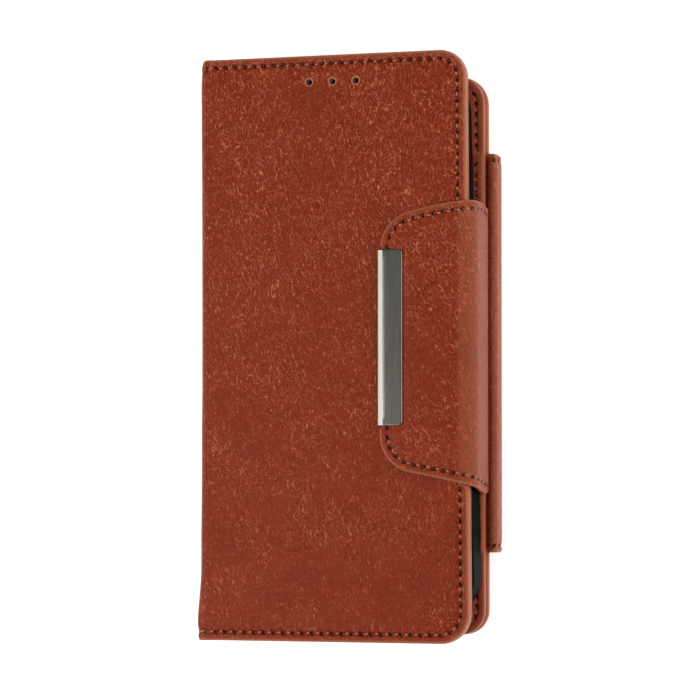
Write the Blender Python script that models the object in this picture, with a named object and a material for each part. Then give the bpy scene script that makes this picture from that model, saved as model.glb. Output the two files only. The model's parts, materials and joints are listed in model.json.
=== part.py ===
"""Tri-fold phone wallet case, closed and lying on the outer face of its third panel.

Metres, +Z up. X runs across the case, from the book spine (-X) to the opening side (+X). Y runs up the
case, towards the phone's top. Z runs through its thickness: wallet leaf, back cover, phone tray, front
cover and closing strap, from the bottom up. The origin is under the middle of the closed case.

Seven bodies fold on six live leather hinges, all along Y. Each moving body hangs on an empty that stands
on its hinge's axis, in the order wallet leaf, wallet hinge, back cover, then spine with front cover, and
strap side with strap tip.
"""

import math

import bmesh
import bpy
from mathutils import Vector

MM = 0.001

# Driving sizes
CASE_WIDTH = 85.6 * MM
COVER_HEIGHT = 168.6 * MM
COVER_NARROWING = 1.4 * MM
LEAF_THICKNESS = 5.0 * MM
BACK_BOTTOM, BACK_TOP = 5.6 * MM, 11.0 * MM
TRAY_BOTTOM, TRAY_TOP = 11.3 * MM, 19.6 * MM
FRONT_BOTTOM, FRONT_TOP = 19.9 * MM, 24.0 * MM
STRAP_BOTTOM, STRAP_TOP = 24.3 * MM, 26.5 * MM
BAR_TOP = 26.95 * MM

PHONE_WIDTH, PHONE_HEIGHT = 72.9 * MM, 148.8 * MM
TRAY_WALL, TRAY_FLOOR = 1.3 * MM, 1.2 * MM
TRAY_CENTRE = (0.25 * MM, -0.1 * MM)
TRAY_SKEW = math.radians(0.9)

GAP = 0.3 * MM
LEATHER = 0.9 * MM

# Outlines of the panels, as lowest and highest X and Y
HALF_WIDTH = CASE_WIDTH / 2
HALF_HEIGHT = COVER_HEIGHT / 2
PANEL_LEFT = -HALF_WIDTH + 1.2 * MM
FRONT_RIGHT = HALF_WIDTH - 3.0 * MM
BACK_RIGHT = HALF_WIDTH - 3.5 * MM
BACK_LOW, BACK_HIGH = -82.1 * MM, 78.2 * MM
LEAF_LEFT, LEAF_RIGHT = -35.0 * MM, BACK_RIGHT - 0.3 * MM
LEAF_LOW, LEAF_HIGH = -58.6 * MM, 56.3 * MM
MAGNET_ROWS = (-26 * MM, 24 * MM)
OPEN_RADIUS = 10 * MM
SPINE_RADIUS = 2 * MM
BACK_LOW_RADIUS = 8 * MM
SPINE_INNER_LOW, SPINE_INNER_HIGH = -78 * MM, 74 * MM

# Pockets inside the covers
LEAF_SLOT_STARTS = (4 * MM, 16 * MM, 28 * MM)
LEAF_SLOT_MARGIN = 9 * MM
COVER_SLOT_EDGES = (-64 * MM, 6 * MM, 21 * MM, 36 * MM)
COVER_SLOT_SIDES = (-33 * MM, 31 * MM)
MONEY_POCKET_ENDS = (-79 * MM, 62 * MM)

# The strap
STRAP_RIGHT = FRONT_RIGHT + 1.9 * MM
STRAP_END = FRONT_RIGHT - 26.5 * MM
STRAP_TIP_RADIUS = 11 * MM
STRAP_CREASE_LOW, STRAP_CREASE_HIGH = -39.0 * MM, 41.4 * MM
STRAP_END_LOW, STRAP_END_HIGH = -34.0 * MM, 36.9 * MM
STRAP_ROOT_LOW, STRAP_ROOT_HIGH = -41.4 * MM, 41.2 * MM
STRAP_SIDE_INNER = FRONT_RIGHT + 0.2 * MM
BAR_LEFT, BAR_WIDTH = FRONT_RIGHT - 26.9 * MM, 8.2 * MM
BAR_LOW, BAR_HIGH = -22.5 * MM, 28.2 * MM
BAR_SHEET = 0.45 * MM

# Hinge axes, each as X and Z: the leather folds along these lines
AXES = {
    "leaf_fold": (FRONT_RIGHT + 2.0 * MM, 2.5 * MM),
    "back_fold": (FRONT_RIGHT + 2.0 * MM, 8.3 * MM),
    "spine_fold": (-HALF_WIDTH + 0.5 * MM, BACK_BOTTOM + 0.5 * MM),
    "cover_fold": (-HALF_WIDTH + 0.5 * MM, FRONT_TOP - 0.5 * MM),
    "strap_root_fold": (FRONT_RIGHT + 1.05 * MM, 12.7 * MM),
    "strap_crease_fold": (FRONT_RIGHT + 1.05 * MM, 25.4 * MM),
}
FOLD_PARENT = {
    "leaf_fold": None,
    "back_fold": "leaf_fold",
    "spine_fold": "back_fold",
    "cover_fold": "spine_fold",
    "strap_root_fold": "back_fold",
    "strap_crease_fold": "strap_root_fold",
}

# Openings
CAMERA_WINDOW = (8 * MM, 34 * MM, 60 * MM, 73 * MM)
CAMERA_RADIUS = 5 * MM
PORT_HALF_WIDTH = 6.5 * MM
PORT_LOW, PORT_HIGH = 13.4 * MM, 18.4 * MM
EARPIECE_HOLE_RADIUS = 0.72 * MM
EARPIECE_PITCH = 7.15 * MM
EARPIECE_CENTRE = (-1.8 * MM, HALF_HEIGHT - 7.6 * MM)

# Colours as linear red, green and blue, with roughness and metallic
LOOKS = {
    "tan_leather": ((0.36, 0.115, 0.045), 0.5, 0.0),
    "brown_lining": ((0.20, 0.055, 0.028), 0.6, 0.0),
    "grey_board": ((0.30, 0.28, 0.25), 0.8, 0.0),
    "black_tpu": ((0.025, 0.027, 0.029), 0.45, 0.0),
    "brushed_steel": ((0.62, 0.60, 0.58), 0.35, 1.0),
    "plate_steel": ((0.42, 0.42, 0.42), 0.4, 1.0),
    "magnet_nickel": ((0.55, 0.54, 0.51), 0.25, 1.0),
}


def clear_scene():
    """Removes whatever the scene holds, so that only the case is in it."""
    for thing in list(bpy.data.objects):
        bpy.data.objects.remove(thing, do_unlink=True)


def make_materials():
    """One Principled material for each look."""
    made = {}
    for name, (colour, roughness, metallic) in LOOKS.items():
        material = bpy.data.materials.new(name)
        material.use_nodes = True
        shader = material.node_tree.nodes["Principled BSDF"]
        shader.inputs["Base Color"].default_value = (*colour, 1.0)
        shader.inputs["Roughness"].default_value = roughness
        shader.inputs["Metallic"].default_value = metallic
        made[name] = material
    return made


def make_pivots():
    """An empty on each hinge's axis, parented in the order in which the case unfolds."""
    pivots = {}
    for fold, (x, z) in AXES.items():
        pivot = bpy.data.objects.new(fold, None)
        bpy.context.collection.objects.link(pivot)
        parent = FOLD_PARENT[fold]
        pivot.location = (x, 0, z)
        if parent:
            pivot.parent = pivots[parent]
            pivot.location -= Vector((AXES[parent][0], 0, AXES[parent][1]))
        pivots[fold] = pivot
    return pivots


def rounded_polygon(corners, radii, segments):
    """A convex outline, anticlockwise, with an arc of its own radius at each corner."""
    outline = []
    for i, corner in enumerate(corners):
        here = Vector(corner)
        back = (Vector(corners[i - 1]) - here).normalized()
        ahead = (Vector(corners[(i + 1) % len(corners)]) - here).normalized()
        half = back.angle(ahead) / 2
        centre = here + (back + ahead).normalized() * (radii[i] / math.sin(half))
        start = here + back * (radii[i] / math.tan(half)) - centre
        turn = math.pi - 2 * half
        for k in range(segments + 1):
            angle = turn * k / segments
            cos, sin = math.cos(angle), math.sin(angle)
            outline.append((
                centre.x + start.x * cos - start.y * sin,
                centre.y + start.x * sin + start.y * cos,
            ))
    return outline


def rounded_box(left, right, low, high, radii, segments=6):
    """A rounded rectangle. The radii are for its low left, low right, high right and high left corners."""
    corners = [(left, low), (right, low), (right, high), (left, high)]
    return rounded_polygon(corners, radii, segments)


def circle(x, y, radius, segments=16):
    """A round outline."""
    turns = [2 * math.pi * i / segments for i in range(segments)]
    return [(x + radius * math.cos(a), y + radius * math.sin(a)) for a in turns]


def turned(outline, angle, centre):
    """The outline turned about a centre."""
    cos, sin = math.cos(angle), math.sin(angle)
    return [
        (
            centre[0] + (x - centre[0]) * cos - (y - centre[1]) * sin,
            centre[1] + (x - centre[0]) * sin + (y - centre[1]) * cos,
        )
        for x, y in outline
    ]


def inset(outline, distance):
    """The outline with every side moved in by a distance."""
    moved = []
    for i, point in enumerate(outline):
        here = Vector(point)
        before = (here - Vector(outline[i - 1])).normalized()
        after = (Vector(outline[(i + 1) % len(outline)]) - here).normalized()
        inward = (Vector((-before.y, before.x)) + Vector((-after.y, after.x))).normalized()
        reach = distance / max(inward.dot(Vector((-after.y, after.x))), 0.3)
        moved.append((here.x + inward.x * reach, here.y + inward.y * reach))
    return moved


def rounding(level, radius, towards, steps=2):
    """Levels that round an edge over: (level, inset) pairs from the side wall to the flat face."""
    angles = [math.pi / 2 * i / steps for i in range(steps + 1)]
    return [
        (level + towards * radius * (math.sin(a) - 1), radius * (1 - math.cos(a)))
        for a in angles
    ]


class Maker:
    """Builds the case's solids, hanging each on the empty of the hinge that carries it."""

    def __init__(self):
        self.materials = make_materials()
        self.pivots = make_pivots()

    def solid(self, name, loops, look, fold):
        """A closed solid through loops of points, with its first and last loops filled in."""
        origin = Vector((AXES[fold][0], 0, AXES[fold][1])) if fold else Vector((0, 0, 0))
        work = bmesh.new()
        rows = [[work.verts.new(Vector(point) - origin) for point in loop] for loop in loops]
        for low, high in zip(rows, rows[1:]):
            for i in range(len(low)):
                work.faces.new((low[i - 1], low[i], high[i], high[i - 1]))
        work.faces.new(rows[0])
        work.faces.new(rows[-1])
        bmesh.ops.recalc_face_normals(work, faces=work.faces)
        mesh = bpy.data.meshes.new(name)
        work.to_mesh(mesh)
        work.free()
        mesh.shade_smooth()
        mesh.set_sharp_from_angle(angle=math.radians(35))
        mesh.materials.append(self.materials[look])
        thing = bpy.data.objects.new(name, mesh)
        bpy.context.collection.objects.link(thing)
        if fold:
            thing.parent = self.pivots[fold]
        return thing

    def flat(self, name, outline, levels, look, fold):
        """A solid over an outline in X and Y. The levels are (Z, inset) pairs."""
        loops = [[(x, y, z) for x, y in inset(outline, by)] for z, by in levels]
        return self.solid(name, loops, look, fold)

    def upright(self, name, outline, left, right, look, fold):
        """A plate over an outline in Y and Z, between two values of X."""
        loops = [[(x, y, z) for y, z in outline] for x in (left, right)]
        return self.solid(name, loops, look, fold)

    def along_y(self, name, profile, low, high, look, fold):
        """A profile in X and Z, drawn out along Y."""
        loops = [[(x, y, z) for x, z in profile] for y in (low, high)]
        return self.solid(name, loops, look, fold)

    def cut(self, name, outline, low, high, targets):
        """Cuts a hole of the outline's shape, between two values of Z, through the target solids."""
        cutter = self.flat(name, outline, [(low, 0), (high, 0)], "grey_board", None)
        cutter.hide_render = True
        cutter.display_type = "WIRE"
        for target in targets:
            step = target.modifiers.new(name, "BOOLEAN")
            step.operation = "DIFFERENCE"
            step.object = cutter


def plate(low, high):
    """Levels of a plain plate."""
    return [(low, 0), (high, 0)]


def cup(outer, rim, thickness, radius):
    """Levels of a skin wrapped over an edge: a rounded outer face, a wall to the rim, and the hollow."""
    up = 1 if rim > outer else -1
    face = [(level, by) for level, by in reversed(rounding(outer, radius, -up))]
    return face + [(rim, 0), (rim, LEATHER), (outer + up * thickness, LEATHER)]


def make_leaf(maker):
    """The wallet leaf: the third panel, which the closed case lies on."""
    radii = [8 * MM, 3 * MM, 3 * MM, 8 * MM]
    outline = rounded_box(LEAF_LEFT, LEAF_RIGHT, LEAF_LOW, LEAF_HIGH, radii)
    inner = inset(outline, LEATHER + GAP)
    maker.flat("leaf_outer_skin", outline, cup(0, 3.2 * MM, 1.0 * MM, 0.8 * MM), "tan_leather", None)
    board = maker.flat("leaf_board", inner, plate(1.3 * MM, 2.3 * MM), "grey_board", None)
    maker.flat("leaf_lining", inner, plate(2.6 * MM, 3.2 * MM), "brown_lining", None)
    maker.flat("leaf_pocket", inset(outline, GAP), plate(3.5 * MM, 4.0 * MM), "brown_lining", None)
    magnet_x = LEAF_LEFT + 9 * MM
    magnet_radius = 5 * MM
    for i, y in enumerate(MAGNET_ROWS, 1):
        hole = circle(magnet_x, y, magnet_radius + GAP)
        maker.cut(f"leaf_magnet_hole_{i}", hole, 1.0 * MM, 2.5 * MM, [board])
        disc = circle(magnet_x, y, magnet_radius)
        maker.flat(f"leaf_magnet_{i}", disc, plate(1.35 * MM, 2.25 * MM), "magnet_nickel", None)
    slot_low, slot_high = LEAF_LOW + LEAF_SLOT_MARGIN, LEAF_HIGH - LEAF_SLOT_MARGIN
    slot_edges = [LEAF_LEFT + start for start in LEAF_SLOT_STARTS] + [LEAF_RIGHT - 4 * MM]
    for i, (left, right) in enumerate(zip(slot_edges, slot_edges[1:]), 1):
        strip = rounded_box(left + GAP, right, slot_low, slot_high, [1.5 * MM] * 4, 2)
        maker.flat(f"leaf_card_slot_{i}", strip, plate(4.3 * MM, LEAF_THICKNESS), "tan_leather", None)


def make_wallet_hinge(maker):
    """The rolled leather that carries the leaf: two arched layers between the two fold lines."""
    low, high = AXES["leaf_fold"][1] + GAP, AXES["back_fold"][1] - GAP
    bulge = 1.2 * MM
    steps = 6
    for name, look, inner, outer in (
        ("wallet_hinge_skin", "tan_leather", 0.85 * MM, 0.0),
        ("wallet_hinge_lining", "brown_lining", 1.75 * MM, 1.15 * MM),
    ):
        arch = []
        for i in range(steps + 1):
            share = i / steps
            lean = bulge * (1 - math.sin(math.pi * share))
            arch.append((HALF_WIDTH - lean, low + (high - low) * share))
        outside = [(x - outer, z) for x, z in arch]
        inside = [(x - inner, z) for x, z in reversed(arch)]
        maker.along_y(name, outside + inside, LEAF_LOW, LEAF_HIGH, look, "leaf_fold")


def make_back_cover(maker):
    """The back cover: an outer and an inner wrapped layer with boards between, open at the camera."""
    radii = [SPINE_RADIUS, BACK_LOW_RADIUS, OPEN_RADIUS, SPINE_RADIUS]
    outline = rounded_box(PANEL_LEFT, BACK_RIGHT, BACK_LOW, BACK_HIGH, radii)
    inner = inset(outline, LEATHER + GAP)
    fold = "back_fold"
    skin_rim, lining_rim = BACK_BOTTOM + 2.5 * MM, BACK_TOP - 2.5 * MM
    skin = maker.flat(
        "back_outer_skin", outline, cup(BACK_BOTTOM, skin_rim, LEATHER, 0.8 * MM), "tan_leather", fold)
    lining = maker.flat(
        "back_lining", outline, cup(BACK_TOP, lining_rim, LEATHER, 0.6 * MM), "brown_lining", fold)
    board_low = BACK_BOTTOM + LEATHER + GAP
    board = maker.flat("back_board", inner, plate(board_low, board_low + 1.1 * MM), "grey_board", fold)
    backing_low = lining_rim + 0.1 * MM
    backing = maker.flat(
        "tray_backing", inner, plate(backing_low, BACK_TOP - LEATHER - GAP), "grey_board", fold)
    window = rounded_box(*CAMERA_WINDOW, [CAMERA_RADIUS] * 4)
    tray = make_tray(maker, fold)
    layers = [skin, board, backing, lining, tray]
    maker.cut("camera_cutter", window, BACK_BOTTOM - 1 * MM, TRAY_BOTTOM + 3 * MM, layers)

    anchor_left = BACK_RIGHT - 12 * MM
    anchor = rounded_box(
        anchor_left, BACK_RIGHT - LEATHER - GAP, STRAP_ROOT_LOW, STRAP_ROOT_HIGH, [0.5 * MM] * 4, 2)
    notch = rounded_box(
        anchor_left - GAP, BACK_RIGHT, STRAP_ROOT_LOW - GAP, STRAP_ROOT_HIGH + GAP, [0.5 * MM] * 4, 2)
    maker.cut("anchor_notch", notch, backing_low - 1 * MM, BACK_TOP, [backing])
    anchor_top = BACK_TOP - LEATHER - GAP
    maker.flat("strap_anchor", anchor, plate(backing_low + 0.2 * MM, anchor_top), "tan_leather", fold)

    plate_left, plate_right = LEAF_LEFT + 1 * MM, LEAF_LEFT + 17 * MM
    for i, y in enumerate(MAGNET_ROWS, 1):
        bounds = (plate_left, plate_right, y - 8 * MM, y + 8 * MM)
        hole = inset(rounded_box(*bounds, [1.5 * MM] * 4, 2), -GAP)
        hole_low, hole_high = BACK_BOTTOM + LEATHER + 0.1 * MM, skin_rim + 0.2 * MM
        maker.cut(f"back_plate_hole_{i}", hole, hole_low, hole_high, [board])
        levels = plate(board_low + 0.1 * MM, board_low + 0.9 * MM)
        steel = rounded_box(*bounds, [1.5 * MM] * 4, 2)
        maker.flat(f"back_steel_plate_{i}", steel, levels, "plate_steel", fold)


def make_tray(maker, fold):
    """The flexible phone tray, set slightly askew as it is glued, with a slot for the charging port."""
    x, y = TRAY_CENTRE
    half_width = PHONE_WIDTH / 2 + TRAY_WALL
    half_height = PHONE_HEIGHT / 2 + TRAY_WALL
    radii = [11 * MM] * 4
    outline = rounded_box(x - half_width, x + half_width, y - half_height, y + half_height, radii, 7)
    outline = turned(outline, TRAY_SKEW, TRAY_CENTRE)
    levels = [
        (TRAY_BOTTOM, 0.6 * MM),
        (TRAY_BOTTOM + 0.6 * MM, 0),
        (TRAY_TOP - 0.3 * MM, 0),
        (TRAY_TOP, 0.3 * MM),
        (TRAY_TOP, TRAY_WALL),
        (TRAY_BOTTOM + TRAY_FLOOR, TRAY_WALL),
    ]
    tray = maker.flat("phone_tray", outline, levels, "black_tpu", fold)
    wall_y = y - half_height
    port = rounded_box(
        -PORT_HALF_WIDTH, PORT_HALF_WIDTH, wall_y - 2 * MM, wall_y + 3 * MM, [0.3 * MM] * 4, 2)
    maker.cut("port_cutter", port, PORT_LOW, PORT_HIGH, [tray])
    return tray


def make_spine(maker):
    """The book spine: skin, stiffener and lining, standing between the two covers."""
    fold = "spine_fold"
    skin_low, skin_high = AXES["spine_fold"][1] + GAP, AXES["cover_fold"][1] - GAP
    skin = [
        (BACK_LOW, skin_low),
        (BACK_HIGH, skin_low),
        (HALF_HEIGHT, skin_high),
        (-HALF_HEIGHT, skin_high),
    ]
    low, high = BACK_TOP + GAP, FRONT_BOTTOM - GAP
    inner = [
        (SPINE_INNER_LOW, low),
        (SPINE_INNER_HIGH, low),
        (SPINE_INNER_HIGH, high),
        (SPINE_INNER_LOW, high),
    ]
    left = -HALF_WIDTH
    maker.upright("spine_skin", skin, left, left + 0.8 * MM, "tan_leather", fold)
    maker.upright("spine_board", inner, left + 1.2 * MM, left + 1.9 * MM, "grey_board", fold)
    maker.upright("spine_lining", inner, left + 2.2 * MM, left + 2.7 * MM, "brown_lining", fold)


def make_front_cover(maker):
    """The front cover, with the earpiece holes, a money pocket and card slots inside."""
    fold = "cover_fold"
    corners = [
        (PANEL_LEFT, -HALF_HEIGHT),
        (FRONT_RIGHT, -HALF_HEIGHT),
        (FRONT_RIGHT - COVER_NARROWING, HALF_HEIGHT),
        (PANEL_LEFT, HALF_HEIGHT),
    ]
    radii = [SPINE_RADIUS, OPEN_RADIUS, OPEN_RADIUS, SPINE_RADIUS]
    outline = rounded_polygon(corners, radii, 6)
    inner = inset(outline, LEATHER + GAP)
    skin = maker.flat(
        "front_outer_skin", outline, cup(FRONT_TOP, FRONT_BOTTOM + 0.5 * MM, 0.8 * MM, 1.0 * MM),
        "tan_leather", fold)
    board = maker.flat("front_board", inner, plate(22.2 * MM, 22.9 * MM), "grey_board", fold)
    lining = maker.flat("front_lining", inner, plate(21.4 * MM, 21.9 * MM), "brown_lining", fold)
    for i in (-1, 0, 1):
        hole = circle(
            EARPIECE_CENTRE[0] + i * EARPIECE_PITCH, EARPIECE_CENTRE[1], EARPIECE_HOLE_RADIUS, 10)
        maker.cut(f"earpiece_cutter_{i + 2}", hole, 21 * MM, 25 * MM, [skin, board, lining])

    bounds = (STRAP_END + 1 * MM, FRONT_RIGHT - 7 * MM, -18 * MM, 24 * MM)
    steel = rounded_box(*bounds, [2 * MM] * 4, 2)
    maker.cut("front_plate_hole", inset(steel, -GAP), 22.0 * MM, 23.05 * MM, [board])
    maker.flat("front_steel_plate", steel, plate(22.25 * MM, 22.85 * MM), "plate_steel", fold)

    pocket = rounded_box(PANEL_LEFT + 3 * MM, FRONT_RIGHT - 4 * MM, *MONEY_POCKET_ENDS, [4 * MM] * 4, 3)
    maker.flat("money_pocket", pocket, plate(20.7 * MM, 21.1 * MM), "brown_lining", fold)
    for i, (low, high) in enumerate(zip(COVER_SLOT_EDGES, COVER_SLOT_EDGES[1:]), 1):
        strip = rounded_box(*COVER_SLOT_SIDES, low + GAP, high, [1.5 * MM] * 4, 2)
        maker.flat(f"card_slot_{i}", strip, plate(FRONT_BOTTOM, 20.4 * MM), "tan_leather", fold)


def make_strap_side(maker):
    """The strap's side, which stands against the covers' opening edge."""
    fold = "strap_root_fold"
    low, high = AXES["strap_root_fold"][1] + GAP, STRAP_BOTTOM - 2 * GAP
    outline = [
        (STRAP_ROOT_LOW, low),
        (STRAP_ROOT_HIGH, low),
        (STRAP_CREASE_HIGH, high),
        (STRAP_CREASE_LOW, high),
    ]
    middle = STRAP_SIDE_INNER + 0.65 * MM
    maker.upright("strap_side_lining", outline, STRAP_SIDE_INNER, middle, "brown_lining", fold)
    maker.upright("strap_side_skin", outline, middle + GAP, STRAP_RIGHT, "tan_leather", fold)


def bar_profile():
    """The steel clip's section in X and Z: a strip folded round the strap's end."""
    outer = (BAR_TOP - STRAP_BOTTOM) / 2
    centre_x, centre_z = BAR_LEFT + outer, STRAP_BOTTOM + outer
    right = BAR_LEFT + BAR_WIDTH
    steps = 8
    angles = [math.pi / 2 + math.pi * i / steps for i in range(steps + 1)]
    profile = []
    for radius, turns in ((outer, angles), (outer - BAR_SHEET, list(reversed(angles)))):
        bend = [(centre_x + radius * math.cos(a), centre_z + radius * math.sin(a)) for a in turns]
        ends = [(right, bend[0][1]), (right, bend[-1][1])]
        profile += [ends[0], *bend, ends[1]]
    return profile


def make_strap_tip(maker):
    """The strap's end over the front cover, with its magnets and the folded steel bar."""
    fold = "strap_crease_fold"
    corners = [
        (STRAP_END, STRAP_END_LOW),
        (STRAP_RIGHT, STRAP_CREASE_LOW),
        (STRAP_RIGHT, STRAP_CREASE_HIGH),
        (STRAP_END, STRAP_END_HIGH),
    ]
    radii = [STRAP_TIP_RADIUS, 1 * MM, 1 * MM, STRAP_TIP_RADIUS]
    outline = rounded_polygon(corners, radii, 6)
    lining_top = STRAP_BOTTOM + 0.4 * MM
    core = (STRAP_BOTTOM + 0.75 * MM, STRAP_BOTTOM + 1.45 * MM)
    levels = cup(STRAP_TOP, STRAP_BOTTOM + 0.7 * MM, 0.5 * MM, 0.5 * MM)
    skin = maker.flat("strap_tip_skin", outline, levels, "tan_leather", fold)
    lining = maker.flat("strap_tip_lining", outline, plate(STRAP_BOTTOM, lining_top), "brown_lining", fold)
    notch = rounded_box(
        STRAP_END - 2 * MM, BAR_LEFT + BAR_WIDTH + GAP, BAR_LOW - GAP, BAR_HIGH + GAP, [0.2 * MM] * 4, 2)
    maker.cut("bar_notch", notch, STRAP_BOTTOM - 1 * MM, STRAP_TOP + 1 * MM, [skin, lining])

    bounds = (BAR_LEFT + 1.4 * MM, STRAP_RIGHT - 4 * MM, BAR_LOW + 1 * MM, BAR_HIGH - 1 * MM)
    stiffener = rounded_box(*bounds, [1.5 * MM] * 4, 2)
    stiffener = maker.flat("strap_stiffener", stiffener, plate(*core), "grey_board", fold)
    magnet_x, magnet_radius = STRAP_END + 15.5 * MM, 4.5 * MM
    for i, y in enumerate((-9 * MM, 15 * MM), 1):
        hole = circle(magnet_x, y, magnet_radius + GAP)
        maker.cut(f"strap_magnet_hole_{i}", hole, core[0] - 1 * MM, core[1] + 1 * MM, [stiffener])
        disc = circle(magnet_x, y, magnet_radius)
        maker.flat(f"strap_magnet_{i}", disc, plate(*core), "magnet_nickel", fold)
    maker.along_y("metal_bar", bar_profile(), BAR_LOW, BAR_HIGH, "brushed_steel", fold)


def main():
    clear_scene()
    maker = Maker()
    make_leaf(maker)
    make_wallet_hinge(maker)
    make_back_cover(maker)
    make_spine(maker)
    make_front_cover(maker)
    make_strap_side(maker)
    make_strap_tip(maker)


main()
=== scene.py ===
"""The looks of the tri-fold phone wallet case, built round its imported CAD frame.

Each leather panel is made flat, as it is cut and sewn, and then laid along a fold path: a point's X is the
distance along the path, its Y is the case's Y, and its depth is measured under the panel's outer face. All
sizes are in mm, in the frame's axes, until an object is made.
"""
import json
import math

import bmesh
import bpy
import numpy as np
from mathutils import Matrix, Vector, noise


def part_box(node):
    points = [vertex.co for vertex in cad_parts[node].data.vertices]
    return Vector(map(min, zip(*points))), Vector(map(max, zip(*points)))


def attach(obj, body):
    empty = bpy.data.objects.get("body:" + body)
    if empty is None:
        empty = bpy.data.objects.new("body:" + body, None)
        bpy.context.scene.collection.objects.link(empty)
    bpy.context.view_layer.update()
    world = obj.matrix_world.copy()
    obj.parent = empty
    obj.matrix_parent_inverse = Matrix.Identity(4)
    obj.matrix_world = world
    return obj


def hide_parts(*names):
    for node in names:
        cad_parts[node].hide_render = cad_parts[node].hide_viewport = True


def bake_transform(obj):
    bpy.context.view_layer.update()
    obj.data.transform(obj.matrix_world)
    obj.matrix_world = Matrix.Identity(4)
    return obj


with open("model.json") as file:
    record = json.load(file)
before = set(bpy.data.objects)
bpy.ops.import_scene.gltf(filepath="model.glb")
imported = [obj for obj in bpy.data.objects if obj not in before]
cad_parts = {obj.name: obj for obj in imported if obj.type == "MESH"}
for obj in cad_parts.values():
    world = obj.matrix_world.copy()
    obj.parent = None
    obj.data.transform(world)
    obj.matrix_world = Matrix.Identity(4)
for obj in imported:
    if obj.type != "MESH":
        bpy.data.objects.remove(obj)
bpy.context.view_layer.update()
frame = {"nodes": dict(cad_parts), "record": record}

MM = 0.001


def box_mm(node):
    """A CAD node's lowest and highest corner, in mm."""
    low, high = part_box(node)
    return np.array(low) / MM, np.array(high) / MM


# Sizes that come from the frame
FRONT_LOW, FRONT_HIGH = box_mm("front_outer_skin")
BACK_LOW, BACK_HIGH = box_mm("back_outer_skin")
LINING_LOW, LINING_HIGH = box_mm("back_lining")
LEAF_LOW, LEAF_HIGH = box_mm("leaf_outer_skin")
SPINE_LEFT = box_mm("spine_skin")[0][0]
ROLL_RIGHT = box_mm("wallet_hinge_skin")[1][0]
STRAP_LOW, STRAP_HIGH = box_mm("strap_tip_skin")
STRAP_RIGHT = box_mm("strap_side_skin")[1][0]
BAR_LOW, BAR_HIGH = box_mm("metal_bar")
TRAY_LOW, TRAY_HIGH = box_mm("phone_tray")

# Stitching and hems
PITCH = 3.0
STITCH_INSET = 2.4
LEAF_STITCH_INSET = 2.0
BORDER = 4.4
HEM = 8.0

# Thicknesses
SKIN = 0.8
FOLD_THICKNESS = 1.2
COVER_THICKNESS = 3.3
LAYER_THICKNESS = 2.5
LEAF_THICKNESS = 3.2

# The covers' corners, and how far their edges leave the frame's
COVER_RADIUS = 8.8
COVER_HIGH_RADIUS = 8.0
COVER_RAISED = 0.3
BACK_HIGH_RADIUS = 8.2
BACK_LOW_RADIUS = 7.0
BACK_REACH = 0.4
COVER_NARROWING = 1.4
COVER_TAPER = 0.3

# The levels where the leather of a fold goes on in another piece
SPINE_SPLIT = 14.8
STRAP_SPLIT = 14.4
ROLL_SPLIT = 5.3

# The camera window and the earpiece holes
WINDOW = (8.0, 34.0, 60.0, 73.0)
WINDOW_RADIUS = 5.0
EARPIECE_PITCH = 7.15
EARPIECE_RADIUS = 0.85
EARPIECE_CENTRE = (-1.8, FRONT_HIGH[1] - 7.6)


# ---------------------------------------------------------------- numbers and noise

def smoothstep(low, high, value):
    """0 below low, 1 above high and smooth between them."""
    share = np.clip((value - low) / (high - low), 0, 1)
    return share * share * (3 - 2 * share)


def bump_at(value, centre, width):
    """A smooth hill of height 1."""
    return np.exp(-(((value - centre) / width) ** 2))


def wander(x, y, size, seed):
    """Smooth noise between about -1 and 1, with hills of a size in mm."""
    return np.array([noise.noise(Vector((a / size, b / size, seed))) for a, b in zip(x, y)])


def fours(count):
    """The count rounded up to a multiple of four, and at least four."""
    return max(4, 4 * math.ceil(count / 4 - 1e-6))


def unit(vector):
    """A vector's direction, at length 1."""
    return vector / np.linalg.norm(vector)


def bend(radius, degrees):
    """A fold path's move round an arc, as its length and its turn."""
    return (radius * math.radians(abs(degrees)), degrees)


# ---------------------------------------------------------------- fold paths

class Fold:
    """A path in X and Z that a panel's outer face follows, as straight moves and bends."""

    STEP = 0.04

    def __init__(self, start, heading, moves, outward):
        (x, z), angle, travelled = start, math.radians(heading), 0.0
        rows = [(travelled, x, z, angle)]
        for length, turn in moves:
            count = max(1, round(length / self.STEP))
            step, twist = length / count, math.radians(turn) / count
            for _ in range(count):
                middle = angle + twist / 2
                x, z = x + step * math.cos(middle), z + step * math.sin(middle)
                angle, travelled = angle + twist, travelled + step
                rows.append((travelled, x, z, angle))
        self.rows = np.array(rows)
        self.side = {"left": 1, "right": -1}[outward]
        self.length = travelled

    def place(self, along, y, depth):
        """Flat points to points in space."""
        travelled, x, z, angle = self.rows.T
        turn = np.interp(along, travelled, angle)
        out_x, out_z = -np.sin(turn) * self.side, np.cos(turn) * self.side
        before = np.minimum(along, 0)
        here_x = np.interp(along, travelled, x) + before * math.cos(angle[0]) - out_x * depth
        here_z = np.interp(along, travelled, z) + before * math.sin(angle[0]) - out_z * depth
        return np.stack([here_x, y, here_z], 1)


def flat_place(level, up):
    """A placing for panels that stay flat: the outer face is at a level, and looks up or down."""
    def place(x, y, depth):
        return np.stack([x, y, level - up * depth], 1)
    return place


# ---------------------------------------------------------------- outlines

def divide(start, end, stops, spacing):
    """Shares from 0 to 1 along a straight side. Each stop is a place and the spacing up to it."""
    marks = [start, *[place for place, _ in stops], end]
    gaps = [*[gap for _, gap in stops], spacing]
    places = [np.array([start])]
    for low, high, gap in zip(marks, marks[1:], gaps):
        places.append(np.linspace(low, high, fours(abs(high - low) / gap) + 1)[1:])
    return (np.concatenate(places) - start) / (end - start)


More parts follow.
